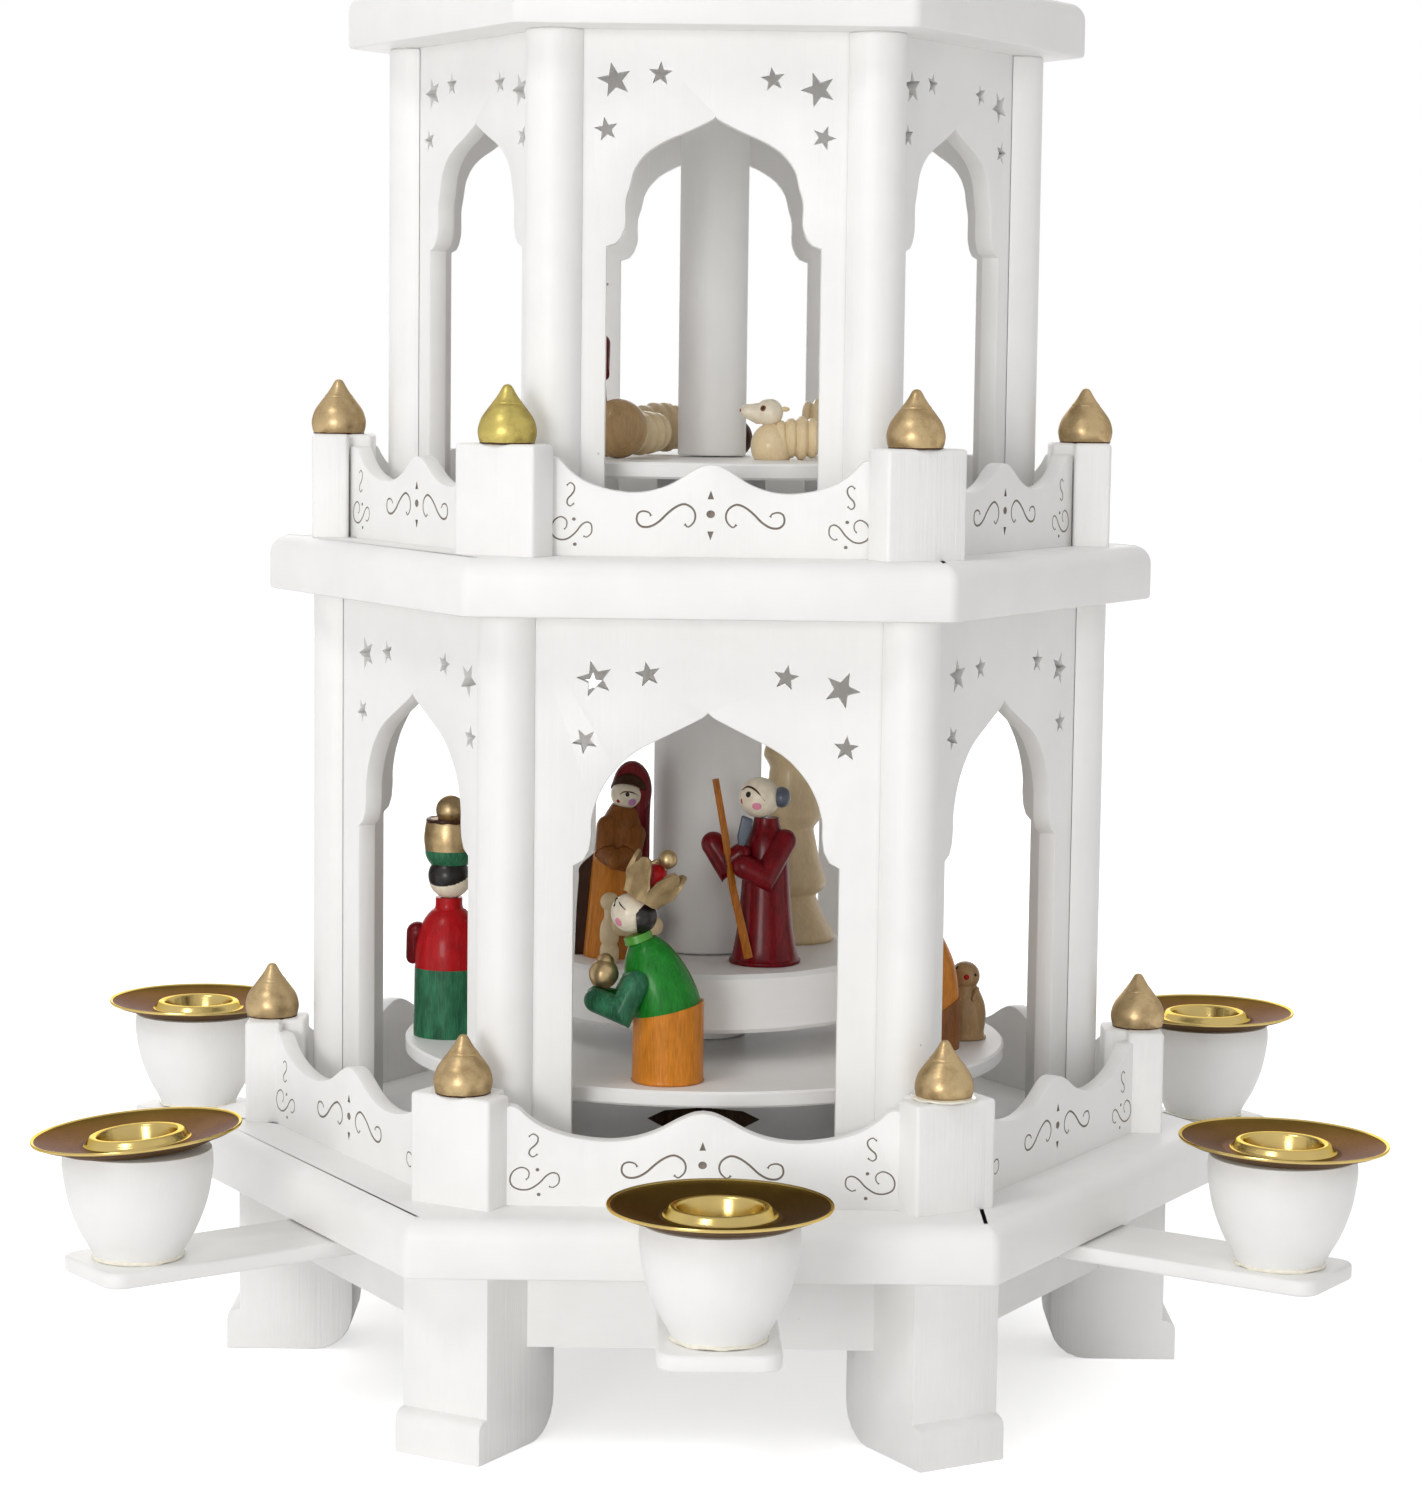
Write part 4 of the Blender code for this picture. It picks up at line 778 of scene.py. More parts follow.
def column_shape(storey):
    """A turned column at the first corner, grooved for its two panels."""
    low, high = storey.floor + FIT, storey.ceiling - FIT
    profile = [(0, low), (6.1, low), (6.5, low + 0.4), (6.5, high - 0.4), (6.1, high), (0, high)]
    column = at(turned(profile, 56), storey.ring, 0)
    gap = PANEL_THICK / 2 + sizes().joint
    face = storey.ring * SLOPE
    grooves = bmesh.new()
    for side in (-1, 1):
        near = -side * (storey.ring / 2 - 7.6)
        far = -side * (storey.ring / 2 - 4.4)
        groove = block((face - gap, min(near, far), low - 1), (face + gap, max(near, far), high + 1))
        merge(grooves, put(groove, Matrix.Rotation(side * math.pi / SIDES, 4, "Z")))
    return carve(column, grooves, 1)


def star_shape(across, up, radius, turn):
    """A five-pointed star in the plane of a panel."""
    points = []
    for index in range(10):
        reach = radius if index % 2 == 0 else radius * 0.42
        angle = math.radians(turn) + math.pi / 2 + math.pi * index / 5
        points.append((across + reach * math.cos(angle), up + reach * math.sin(angle)))
    return points


def panel_shape(storey, number):
    """A panel with its arch and star cut-outs, standing at the first side."""
    half = storey.ring / 2 - 4.6
    height = storey.ceiling - storey.floor - 2 * FIT
    shoulder = (storey.jamb, storey.shoulder)
    step_end = (storey.arch[0][0] * storey.jamb, storey.shoulder + storey.arch[0][1] * storey.rise)
    bend = (step_end[0] + (shoulder[0] - step_end[0]) * 0.35, shoulder[1] + (step_end[1] - shoulder[1]) * 0.35)
    rise = [(across * storey.jamb, storey.shoulder + up * storey.rise) for across, up in storey.arch]
    arch = [shoulder, bend] + [(point.x, point.y) for point in smooth_line(rise, 4)]
    outline = [(half, height), (half, 0.0)] + mirrored([(storey.jamb, 0.0)] + arch)
    outline += [(-half, 0.0), (-half, height)]
    face = storey.ring * SLOPE - PANEL_THICK / 2
    low = storey.floor + FIT
    panel = slab([(face, across, low + up) for across, up in outline], (PANEL_THICK, 0, 0))

    def on_arch(edge):
        """Says if an edge runs round the opening on the front or back."""
        middle = (edge.verts[0].co + edge.verts[1].co) / 2
        flat = abs(edge.verts[0].co.x - edge.verts[1].co.x) < WELD
        return flat and abs(middle.y) < storey.jamb + 0.1 and middle.z < low + storey.shoulder + storey.rise + 0.1

    soften(panel, sizes().arris, 2, on_arch)
    stars = bmesh.new()
    for index, (across, up, radius, turn) in enumerate(storey.stars):
        tilt = turn + 9 * math.sin(7.0 * number + 3.0 * index)
        points = star_shape(across, up, radius, tilt)
        merge(stars, slab([(face - OVERRUN, x, storey.floor + z) for x, z in points], (PANEL_THICK + 2 * OVERRUN,
            0, 0)))
    return carve(panel, stars, 1)


def make_columns():
    """Six columns on each storey."""
    for storey in STOREYS:
        repeat(column_shape(storey), CORNERS, storey.name + "_column", ("white_upright", "raw_edge"),
               storey.name + "_arcade")


def make_panels():
    """Six arch panels on each storey."""
    for storey in STOREYS:
        node_name = storey.name + "_arcade"
        for index, turn in enumerate(MIDDLES):
            panel = put(panel_shape(storey, index), Matrix.Rotation(turn, 4, "Z"))
            make_piece(f"{storey.name}_panel_{index + 1}", [(panel, "white_upright")],
                       "stand", (node_name,))


# Balustrades

def post_shape(storey):
    """A post at the first corner: a broad head outside and a stem behind, between the boards."""
    outer = storey.posts + 6.8
    low = storey.floor + FIT
    right = [(outer, 10.1), (outer - 8.4, 10.1), (outer - 8.4, 5.6), (outer - 13.6, 5.6)]
    outline = right + [(radius, -across) for radius, across in reversed(right)]
    post = slab([(radius, across, low) for radius, across in outline], (0, 0, POST_HEIGHT))
    return soften(post, sizes().post_round, 3, lambda edge: max(vert.co.z for vert in edge.verts) > low + 0.1)


def finial_shape():
    """An onion finial with a thin turned ring below its tip."""
    belly = smooth_profile([(5.8, 0.0), (6.2, 1.2), (6.35, 3.0), (5.7, 5.3), (4.5, 7.1), (3.55, 8.35)], 4)
    tip = smooth_profile([(3.3, 8.75), (2.6, 9.6), (1.75, 10.9), (1.2, 11.9), (0.7, 12.5), (0.0, 12.7)], 4)
    return turned([(0.0, 0.0)] + belly + [(3.36, 8.5), (3.32, 8.62)] + tip, 56)


def board_outline(storey):
    """A rail board's outline as (across, up), curved along its top."""
    half = storey.half
    rise = storey.ends - storey.valley
    crest = [(half * across, storey.valley + rise * up) for across, up in CREST]
    crest += [(half * across, storey.valley + (storey.peak - storey.valley) * up) for across, up in CREST_PEAK]
    line = [(point.x, point.y) for point in smooth_line(crest, 4)]
    return [(-half, 0.0), (half, 0.0), (half, storey.ends)] + mirrored(line) + [(-half, storey.ends)]


def engraving(storey, face, low):
    """The grooves of the scrolls, dots and darts on one board."""
    grooves = bmesh.new()
    width = sizes().engraving / 2
    for marks, share in ((SCROLL, 1.0), (END_CURL, 0.75), (END_SCROLL, 0.75)):
        stretch = storey.spread if marks is not SCROLL else 0.5 + storey.spread / 2
        for side in (-1, 1):
            line = smooth_line([(side * across * stretch, up) for across, up in marks], 3)
            points = [(face + 0.04, point.x, low + point.y) for point in line]
            last = len(points) - 1
            radii = [width * share * (0.75 + 0.4 * math.sin(math.pi * index / last)) for index in range(last + 1)]
            radii[0] = radii[-1] = width * share * 1.5
            merge(grooves, stroke(points, radii, 1))
    spots = [(0.0, 9.3, 0.95)] + [(side * x * storey.spread, z, 0.42) for x, z in END_DOTS for side in (-1, 1)]
    for across, up, radius in spots:
        merge(grooves, ball((face, across, low + up), radius, (0.5, 1.0, 0.9), 12))
    for up, height in ((12.5, 1.9), (5.6, -1.9)):
        dart = [(face - 0.4, -0.7, low + up), (face - 0.4, 0.7, low + up), (face - 0.4, 0.0, low + up + height)]
        merge(grooves, slab(dart, (1.0, 0, 0)))
    return grooves


def make_rails():
    """Engraved rail boards between the posts."""
    for storey in STOREYS:
        low = storey.floor + FIT
        outline = board_outline(storey)
        back = storey.rail - BOARD_THICK
        board = slab([(back, across, low + up) for across, up in outline], (BOARD_THICK, 0, 0))
        soften(board, sizes().arris, 2, lambda edge: not upright(edge) and max(
            vert.co.z for vert in edge.verts) > low + 2 and abs(edge.verts[0].co.x - edge.verts[1].co.x) < WELD)
        board = carve(board, engraving(storey, storey.rail, low), 1)
        repeat(board, MIDDLES, storey.name + "_rail", ("white_upright", "scorched_line"),
               storey.name + "_balustrade")


def make_posts():
    """Posts at the corners."""
    for storey in STOREYS:
        repeat(post_shape(storey), CORNERS, storey.name + "_post", "white_grain", storey.name + "_balustrade")


def make_finials():
    """Gold onion finials on the posts, each with a thin dark brown ring at its foot, and a puddle of set glue under
    one.
    """
    for storey in STOREYS:
        top = storey.floor + FIT + POST_HEIGHT
        for index, turn in enumerate(CORNERS):
            radius = storey.posts + 1.5
            x, y = radius * math.cos(turn), radius * math.sin(turn)
            onion = at(finial_shape(), x, y, top, 1.3 * index)
            # A thin dark brown ring laid round the join of finial and post
            bead = ruffle(at(turned(ring_profile(5.75, 0.1, 0.24), 40, closed=True), x, y, top), 0.1, 0.6, index)
            gold = "yellow_gold" if (storey.name, index) == ("middle", 4) else "gold_paint"
            parts = [(onion, gold), (bead, "dark_brown_stain")]
            if (storey.name, index) == ("lower", 5):
                puddle = turned([(0, 0), (6.9, 0), (7.2, 0.15), (6.9, 0.5), (5.0, 0.8), (0, 0.8)], 48)
                parts.append((at(ruffle(puddle, 0.25, 0.4), x, y, top + 0.02), "set_glue"))
            make_piece(f"{storey.name}_finial_{index + 1}", parts, "stand",
                       (storey.name + "_balustrade",))


def ring_profile(radius, height, thickness, steps=8):
    """A round bead's section."""
    turns = [math.tau * step / steps for step in range(steps)]
    return [(radius + thickness * math.cos(turn), height + thickness * math.sin(turn)) for turn in turns]


# Legs, arms, cups and dishes

def leg_shape():
    """A leg with a foot that stands proud outside and is rounded off inside."""
    top = level("leg_1", 1)
    foot = [(110 + out, up) for out, up in ((3.0, 7.0), (2.8, 8.1), (2.1, 9.0), (1.0, 9.5), (0.0, 9.7))]
    heel = [(83 + 9 * (1 - math.sin(turn)), 9 * (1 - math.cos(turn)))
            for turn in [math.pi / 2 * (1 - step / 6) for step in range(7)]]
    outline = [(113.0, 0.0)] + foot + [(110.0, top), (83.0, top)] + heel
    leg = slab([(radius, -11.0, height) for radius, height in outline], (0, 22, 0))
    soften(leg, 0.55, 2, lambda edge: abs(edge.verts[0].co.y - edge.verts[1].co.y) < WELD)
    slot_low = level("apron_ring", 0) - 0.05
    stretch = 1 / SLOPE
    inner, outer = 83.15 * stretch, 87.25 * stretch
    slot = turned([(inner, slot_low), (outer, slot_low), (outer, top + 2), (inner, top + 2)], SIDES, closed=True)
    return carve(leg, slot, 0)


def make_legs():
    """Six legs."""
    repeat(leg_shape(), CORNERS, "leg_painted", "white_grain", "leg_{}")


def make_arms():
    """Flat candle arms with rounded ends."""
    low, high = level("candle_arm_1", 0), level("candle_arm_1", 1)
    for index, turn in enumerate(ARM_TURNS):
        arm = block((45, -12.5, low), (164, 12.5, high))
        soften(arm, 4.5, 6, lambda edge: upright(edge) and edge.verts[0].co.x > 160)
        soften(arm, 0.8, 3, lambda edge: not upright(edge))
        put(arm, Matrix.Rotation(turn, 4, "Z"))
        make_piece(f"arm_painted_{index + 1}", [(arm, "white_along")], "stand",
                   (f"candle_arm_{index + 1}",))


def make_cups():
    """Turned cups with a bead of glue round each foot."""
    low = level("candle_cup_1", 0)
    for index, turn in enumerate(ARM_TURNS):
        x, y = CUP_RING * math.cos(turn), CUP_RING * math.sin(turn)
        outside = smooth_profile(CUP_LINE, 5)
        cup = turned([(0.0, 0.0)] + outside + [(15.5, 23.8), (9.5, 23.8), (9.4, 10.0), (0.0, 10.0)], 72)
        bead = ruffle(turned(ring_profile(9.6, 0.2, 0.45), 48, closed=True), 0.35, 0.35, 5.0 * index)
        for shape in (cup, bead):
            at(shape, x, y, low)
        make_piece(f"cup_painted_{index + 1}", [(cup, "white_upright"), (bead, "set_glue")],
                   "stand", (f"candle_cup_{index + 1}",))


def dish_shape():
    """A pressed brass dish with a rolled rim, a raised collar and a socket."""
    rim = sizes().dish_radius
    above = [(0.0, -12.9), (8.1, -12.9), (8.55, -12.4), (8.55, 2.0)]
    above += smooth_profile([(8.55, 2.0), (8.85, 2.45), (9.5, 2.65), (10.2, 2.45), (10.7, 1.8), (11.3, 1.0),
        (12.6, 0.6)], 4)
    above += smooth_profile([(12.6, 0.6), (15.5, 1.15), (18.5, 1.75), (21.2, 2.45), (rim - 0.45, 3.05)], 3)[1:]
    above += [(rim - 0.15, 3.1), (rim, 2.85), (rim - 0.1, 2.5), (rim - 0.5, 2.4)]
    below = [(21.2, 1.85), (18.8, 1.1), (16.4, 0.05), (9.2, 0.05), (9.15, -12.9), (8.7, -13.4), (0, -13.5)]
    dish = turned(above + below, 96)
    # The face between collar and rim takes the second finish, brass darkened to paint a dark reflection
    for face in dish.faces:
        reach = math.hypot(*face.calc_center_median().xy)
        face.material_index = 1 if 11.5 < reach < rim - 0.9 else 0
    return dish


def make_dishes():
    """Loose brass drip dishes. The front left one sits askew."""
    seat = level("candle_cup_1", 1) + 0.3
    for index, turn in enumerate(ARM_TURNS):
        tilt = math.radians(DISH_TILTS[index])
        x, y = CUP_RING * math.cos(turn), CUP_RING * math.sin(turn)
        dish = put(dish_shape(), Matrix.Rotation(-tilt, 4, "Y"))
        at(dish, x, y, seat + abs(tilt) * 3)
        make_piece(f"dish_brass_{index + 1}", [(dish, ("pressed_brass", "aged_brass"))], f"dish_{index + 1}",
                   (f"drip_dish_{index + 1}",))


# Turning centre

def disc_line(inner, outer, low, high, edge=0.5):
    """The section of a flat ring with soft outer edges."""
    return [(inner, low), (outer - edge, low), (outer, low + edge), (outer, high - edge), (outer - edge, high),
        (inner, high)]


def make_centre():
    """Shaft, discs, pedestal and sleeves."""
    bore = 2.3
    tops = [level(name + "_turntable", 1) for name in ("lower", "middle", "upper")]
    low = tops[0] - DISC_THICK
    hub = [(bore, low - 9.0), (9.1, low - 9.0), (9.5, low - 8.6), (9.5, low)]
    lower = turned(hub + disc_line(bore, 71.3, low, tops[0])[1:], 128, closed=True)
    make_piece("lower_disc", [(lower, "white_round")], "carousel", ("lower_turntable",))
    for name, radius, top in (("middle", 56.0, tops[1]), ("upper", 41.5, tops[2])):
        disc = turned(disc_line(bore, radius, top - DISC_THICK, top), 112, closed=True)
        make_piece(name + "_disc", [(disc, "white_round")], "carousel", (name + "_turntable",))
    low, high = level("pedestal", 0), level("pedestal", 1)
    line = [(bore, low), (9.5, low), (9.5, tops[0] + 7.1)] + disc_line(bore, 40.0, tops[0] + 7.1, high, 1.0)[1:]
    pedestal = ruffle(turned(line, 112, closed=True), 0.12, 0.14)
    make_piece("pedestal_painted", [(pedestal, "white_round")], "carousel", ("pedestal",))
    for name, radius in (("lower_column", 12.75), ("middle_column", 8.0), ("upper_column", 6.0)):
        line = disc_line(bore, radius, level(name, 0), level(name, 1), 0.35)
        sleeve = turned(line, 72, closed=True)
        make_piece(name + "_sleeve", [(sleeve, "white_upright")], "carousel", (name,))
    low, high = level("drive_shaft", 0), level("drive_shaft", 1)
    shaft = turned([(0, low), (0.6, low + 0.2), (2.0, low + 3.0), (2.0, high - 0.4), (1.6, high), (0, high)], 32)
    make_piece("steel_shaft", [(shaft, "drawn_steel")], "carousel", ("drive_shaft",))


def make_bearings():
    """Bridge, bearing cup and bush."""
    low, high = level("bearing_bridge", 0), level("bearing_bridge", 1)
    bridge = soften(block((-40, -10, low), (40, 10, high)), 0.6, 2)
    hole = turned([(0, low - 2), (5.3, low - 2), (5.3, high + 2), (0, high + 2)], 40)
    make_piece("bridge_wood", [(carve(bridge, hole), "bare_wood")], "stand", ("bearing_bridge",))
    low, high = level("bearing_cup", 0), level("bearing_cup", 1)
    brim = high - 2.0
    cup = turned([(0, low), (4.7, low), (5.0, low + 0.3), (5.0, brim), (6.7, brim), (7.0, brim + 0.3),
        (7.0, high - 0.3),
                  (6.7, high), (2.6, high), (2.3, high - 0.3), (2.3, low + 1.5), (0, low + 1.5)], 48)
    make_piece("bearing_brass", [(cup, "pressed_brass")], "stand", ("bearing_cup",))
    low, high = level("top_bearing_bush", 0), level("top_bearing_bush", 1)
    brim = high - 1.5
    bush = turned([(2.3, low), (5.0, low), (5.0, brim), (7.2, brim), (7.5, brim + 0.3), (7.5, high - 0.3),
        (7.2, high),
                   (2.3, high)], 48, closed=True)
    make_piece("bush_brass", [(bush, "pressed_brass")], "stand", ("top_bearing_bush",))


def make_rotor():
    """Hub, dowels, pitched blades and the gold knob on top."""
    hub_low, hub_high = level("roof_plate", 1) + 12.0, level("roof_plate", 1) + 28.0
    middle = (hub_low + hub_high) / 2
    hub = turned([(2.3, hub_low), (14.5, hub_low)] + smooth_profile(
        [(14.5, hub_low), (16.2, hub_low + 0.8), (17.0, hub_low + 3.0)], 3)[1:] + smooth_profile(
        [(17.0, hub_high - 3.0), (16.2, hub_high - 0.8), (14.5, hub_high)], 3) + [(2.3, hub_high)], 64, closed=True)
    make_piece("rotor_hub", [(hub, "white_round")], "carousel", ("rotor",))
    for index in range(BLADES):
        turn = Matrix.Translation((0, 0, middle)) @ Matrix.Rotation(math.tau * index / BLADES, 4, "Z")
        outline = [(42, -9, -0.9), (167, -23, -0.9), (167, 23, -0.9), (42, 9, -0.9)]
        blade = slab(outline, (0, 0, 1.8))
        soften(blade, 6.0, 5, lambda edge: upright(edge) and edge.verts[0].co.x > 160)
        soften(blade, 2.0, 3, lambda edge: upright(edge) and edge.verts[0].co.x < 50)
        soften(blade, 0.4, 2, lambda edge: not upright(edge))
        put(blade, turn @ Matrix.Rotation(math.radians(32), 4, "X"))
        make_piece(f"rotor_blade_{index + 1}", [(blade, "white_along")], "carousel", ("rotor",))
        stem = put(dowel((13, 0, 0), (52, 0, 0), 2.5, 2.4), turn)
        make_piece(f"rotor_stem_{index + 1}", [(stem, "varnished_wood")], "carousel", ("rotor",))
    low = level("rotor_knob", 0)
    line = smooth_profile([(5.4, 0), (5.9, 1.6), (8.2, 5.0), (9.9, 9.0), (9.2, 12.8), (6.6, 16.2), (4.0, 18.8),
                           (2.2, 21.4), (1.2, 23.4), (0, 24.0)], 4)
    knob = turned([(0, 7.7), (2.3, 7.7), (2.3, 0.0)] + line, 64)
    make_piece("knob_gold", [(at(knob, 0, 0, low), "gold_paint")], "carousel", ("rotor_knob",))


# Figures

def robe(x, y, z, marks, steps=48):
    """A turned robe from (radius, height) marks above its foot."""
    line = smooth_profile(marks, 4)
    return at(turned([(0.0, marks[0][1])] + line + [(0.0, marks[-1][1])], steps), x, y, z)


def make_man_with_staff():
    """The robed man with a slate beard and a long staff."""
    x, y, z = 13.8, -20.5, PEDESTAL_TOP
    head = (12.1, -20.9, 135.0)
    r = 4.75
    body = robe(x, y, z, [(8.2, 0), (8.35, 0.8), (7.6, 2.0), (6.4, 9.0), (5.7, 17), (5.3, 23), (4.6, 28.5),
        (3.3, 32), (2.9, 34)])
    patch = ball((17.2, -21.6, 135.2), 2.5, (0.86, 1.15, 0.97))
    hair = [(8.0, 131.4), (10.7, 130.4), (10.1, 127.5), (8.7, 123.9), (7.2, 123.9), (7.0, 126.5), (7.6, 129.5)]
    beard = soften(slab([(across, -26.2, up) for across, up in hair], (0, 1.6, 0)), 0.5, 3)
    near = bent_arm((18.0, -23.3, 125.2), (13.5, -26.4, 117.2), (8.7, -27.2, 119.6), 2.8, 2.8)
    far = bent_arm((1.5, -23.5, 124.4), (4.4, -24.4, 119.6), (7.8, -25.0, 122.4), 2.85, 2.4)
    staff = stroke([(1.8, -26.2, 139.8), (4.0, -26.3, 127.9), (6.1, -26.8, 114.6), (10.0, -27.6, 98.4)],
                   [0.78, 0.82, 0.9, 1.05], 0)
    brow = lash(head, r + 0.05, ((8.0, 136.9), (9.4, 137.8), (11.2, 137.1), (13.3, 134.7)), (0.1, 0.24, 0.26, 0.05))
    eye = dab(head, r, 9.4, 136.1, 0.72, 0.72)
    cheek = dab(head, r, 11.4, 133.4, 1.15, 0.95, proud=0.06)
    mouth = dab(head, r, 7.9, 134.3, 0.35, 0.7, proud=0.08)
    make_piece("man_with_staff_figure", [
        (body, "dark_red_stain"), (near, "dark_red_stain"), (far, "dark_red_stain"), (ball(head, r), "cream_enamel"),
        (patch, "slate_enamel"), (beard, "slate_enamel"), (staff, "amber_stain"), (brow, "dark_brown_stain"),
        (eye, "black_enamel"), (cheek, "pink_enamel"), (mouth, "red_stain"),
    ], "carousel", ("man_with_staff",))


def make_hooded_woman():
    """The woman with a dark red hood and joined sleeves."""
    x, y, z = -21.6, -13.0, PEDESTAL_TOP
    head = (-18.8, -14.0, 134.6)
    r = 3.8
    dress = robe(x, y, z, [(7.0, 0), (7.1, 0.6), (6.6, 6.0), (5.9, 14.0), (5.2, 22.0), (4.2, 28.0)])
    cloak = keep_side(robe(x, y + 0.8, z, [
        (9.2, 0), (9.2, 0.6), (8.9, 10.0), (8.4, 18.0), (8.1, 21.0), (4.5, 24.5), (3.5, 27.0)]), (x, y, z), (0, 1, 0))
    chest = along(turned([(0, 0)] + smooth_profile([(4.6, 0), (5.6, 4), (5.6, 9), (4.5, 13.5),
        (3.2, 16.5)], 4) + [(0, 16.5)], 40),
                  (x + 0.2, y, 115.5), (-19.2, -13.8, 131.5))
    hood = keep_side(ball((-17.7, -12.8, 135.4), 1.0, (4.7, 5.2, 6.9)), (-17.7, -15.0, 135.0), (0.1, 1, 0.0))
    veil = robe(-16.9, -12.4, 119.0, [(3.2, 0), (3.5, 1), (3.5, 10), (3.8, 17)])
    hair = keep_side(ball((-18.3, -13.6, 135.4), 4.4), (-18.3, -17.0, 137.2), (0.15, 0.45, 0.88))
    left = bent_arm((-23.2, -16.4, 127.2), (-23.6, -18.2, 121.6), (-21.2, -20.6, 119.9), 2.6, 2.2)
    right = bent_arm((-17.0, -16.4, 125.4), (-17.9, -18.2, 121.0), (-21.2, -20.9, 119.9), 2.75, 2.3)
    brow = lash(head, r + 0.04, ((-20.4, 134.9), (-19.4, 135.5), (-17.6, 135.4), (-16.1, 134.6)),
        (0.05, 0.14, 0.16, 0.05))
    eye = dab(head, r, -18.6, 134.9, 0.5, 0.5)
    cheek = dab(head, r, -17.5, 133.0, 1.0, 0.95, proud=0.06)
    mouth = dab(head, r, -20.8, 133.2, 0.45, 0.5, proud=0.08)
    make_piece("hooded_woman_figure", [
        (dress, "orange_stain"), (cloak, "dark_brown_stain"), (chest, "brown_stain"), (veil, "dark_red_stain"),
        (hood, "dark_red_stain"), (hair, "dark_brown_stain"), (ball(head, r), "cream_enamel"), (right, "brown_stain"),
        (left, "brown_stain"), (brow, "dark_brown_stain"), (eye, "black_enamel"), (cheek, "violet_enamel"),
        (mouth, "red_stain"),
    ], "carousel", ("hooded_woman",))


def make_child_and_tree():
    """The small swaddled child, a bundle beside it, and the ringed tree."""
    x, y, z = -22.3, -24.0, PEDESTAL_TOP
    child = robe(x, y, z, [
        (1.9, 0), (2.1, 0.4), (2.2, 3.2), (1.8, 4.4), (2.2, 5.4), (2.2, 8.0), (1.8, 9.6), (1.3, 10.6),
            (1.3, 12.6)], 40)
    face = ball((x, y, 110.6), 2.2, steps=28)
    bundle = dowel((-20.5, y, 105.0), (-12.2, y, 105.0), 2.4, 2.4)
    make_piece("child_turned", [(child, "varnished_wood"), (face, "varnished_wood"), (bundle, "varnished_wood")],
               "carousel", ("manger_child",))
    tree = robe(20.3, 14.5, z, [
        (10.3, 0), (10.8, 0.8), (10.3, 2.4), (8.2, 6.0), (6.7, 9.4), (6.3, 11.0), (7.6, 12.2), (8.6, 13.6),
            (8.4, 15.4),
        (6.9, 20.0), (5.9, 24.6), (5.5, 27.2), (6.4, 28.6), (7.3, 30.4), (7.2, 32.2), (6.2, 36.0), (5.6, 40.0),
            (5.5, 42.0),
        (6.2, 43.4), (6.9, 44.8), (6.5, 47.0), (4.2, 51.6), (2.0, 56.0), (0.0, 58.8)], 48)
    make_piece("tree_turned", [(tree, "varnished_wood")], "carousel", ("ring_tree",))


def make_kneeling_king():
    """The kneeling king with his crown and gold vessel."""
    x, y, z = -8.1, -58.5, LOWER_TOP
    head = (-16.7, y, 113.4)
    r = 4.4
    skirt = robe(x, y, z, [(7.9, 0.0), (8.2, 0.3), (8.0, 0.9), (7.95, 8.0), (7.9, 19.5)], 56)
    keep_side(skirt, (x, y, 92.0), Vector((0.24, 0, -1)))
    body = along(turned([(0, 0)] + smooth_profile([
        (7.75, 0), (7.8, 3), (7.3, 7.5), (6.1, 12.0), (4.7, 15.0), (3.3, 17.0)], 5) + [(0, 17.0)], 56),
            (x, y, 91.2), (-14.2, y, 107.6))
    collar = along(turned([(0, 0), (3.3, 0), (3.1, 1.7), (0, 1.7)], 40), (-14.7, y, 107.0), (-15.4, y, 109.0))
    hair = keep_side(ball((-14.6, y, 112.5), 4.3, (0.88, 1.06, 0.86)), (-15.4, y, 112.5), (1, 0, 0.08))
    crown = crown_shape((-14.4, y, 116.4), (0.5, 0, 0.866), 4.4, 6.6, 9.2, 5)
    cap = along(turned([(0, 0)] + smooth_profile([(3.6, 0), (3.6, 3.0), (3.2, 5.4), (2.4, 7.2), (0, 8.6)], 4) , 40),
                (-14.2, y, 116.8), (-9.8, y, 124.5))
    bobble = ball((-8.6, y, 125.4), 2.15, steps=24)
    vessel = ruffle(ball((-22.6, -59.8, 99.8), 3.35, steps=28), 0.2, 0.35)
    knob = ball((-22.2, -59.2, 102.3), 2.0, steps=20)
    near = bent_arm((-15.4, -65.0, 98.4), (-18.2, -65.6, 92.4), (-24.0, -62.8, 94.3), 3.0, 2.8)
    cuff = put(ball((0, 0, 0), 1.0, (0.3, 2.1, 1.9)), Matrix.Translation((-21.4, -64.2, 94.4)))
    far = bent_arm((-15.0, -53.0, 99.4), (-18.7, -53.2, 92.4), (-24.0, -57.2, 94.3), 2.7, 2.5)
    closed = lash(head, r + 0.05, ((-20.3, 115.1), (-19.8, 116.6), (-18.9, 115.6), (-17.8, 114.6)),
        (0.22, 0.2, 0.16, 0.08))
    cheek = dab(head, r, -19.4, 111.6, 0.95, 1.15, proud=0.06)
    make_piece("kneeling_king_figure", [
        (skirt, "orange_stain"), (body, "green_stain"), (collar, "lime_enamel"), (ball(head, r), "cream_enamel"),
        (hair, "black_enamel"), (crown, "gold_paint"), (cap, "red_stain"), (bobble, "gold_paint"),
        (vessel, "gold_paint"), (knob, "gold_paint"), (near, "deep_green_stain"),
        (cuff, "lime_enamel"), (far, "green_stain"), (closed, "black_enamel"), (cheek, "pink_enamel"),
    ], "carousel", ("king_kneeling",))


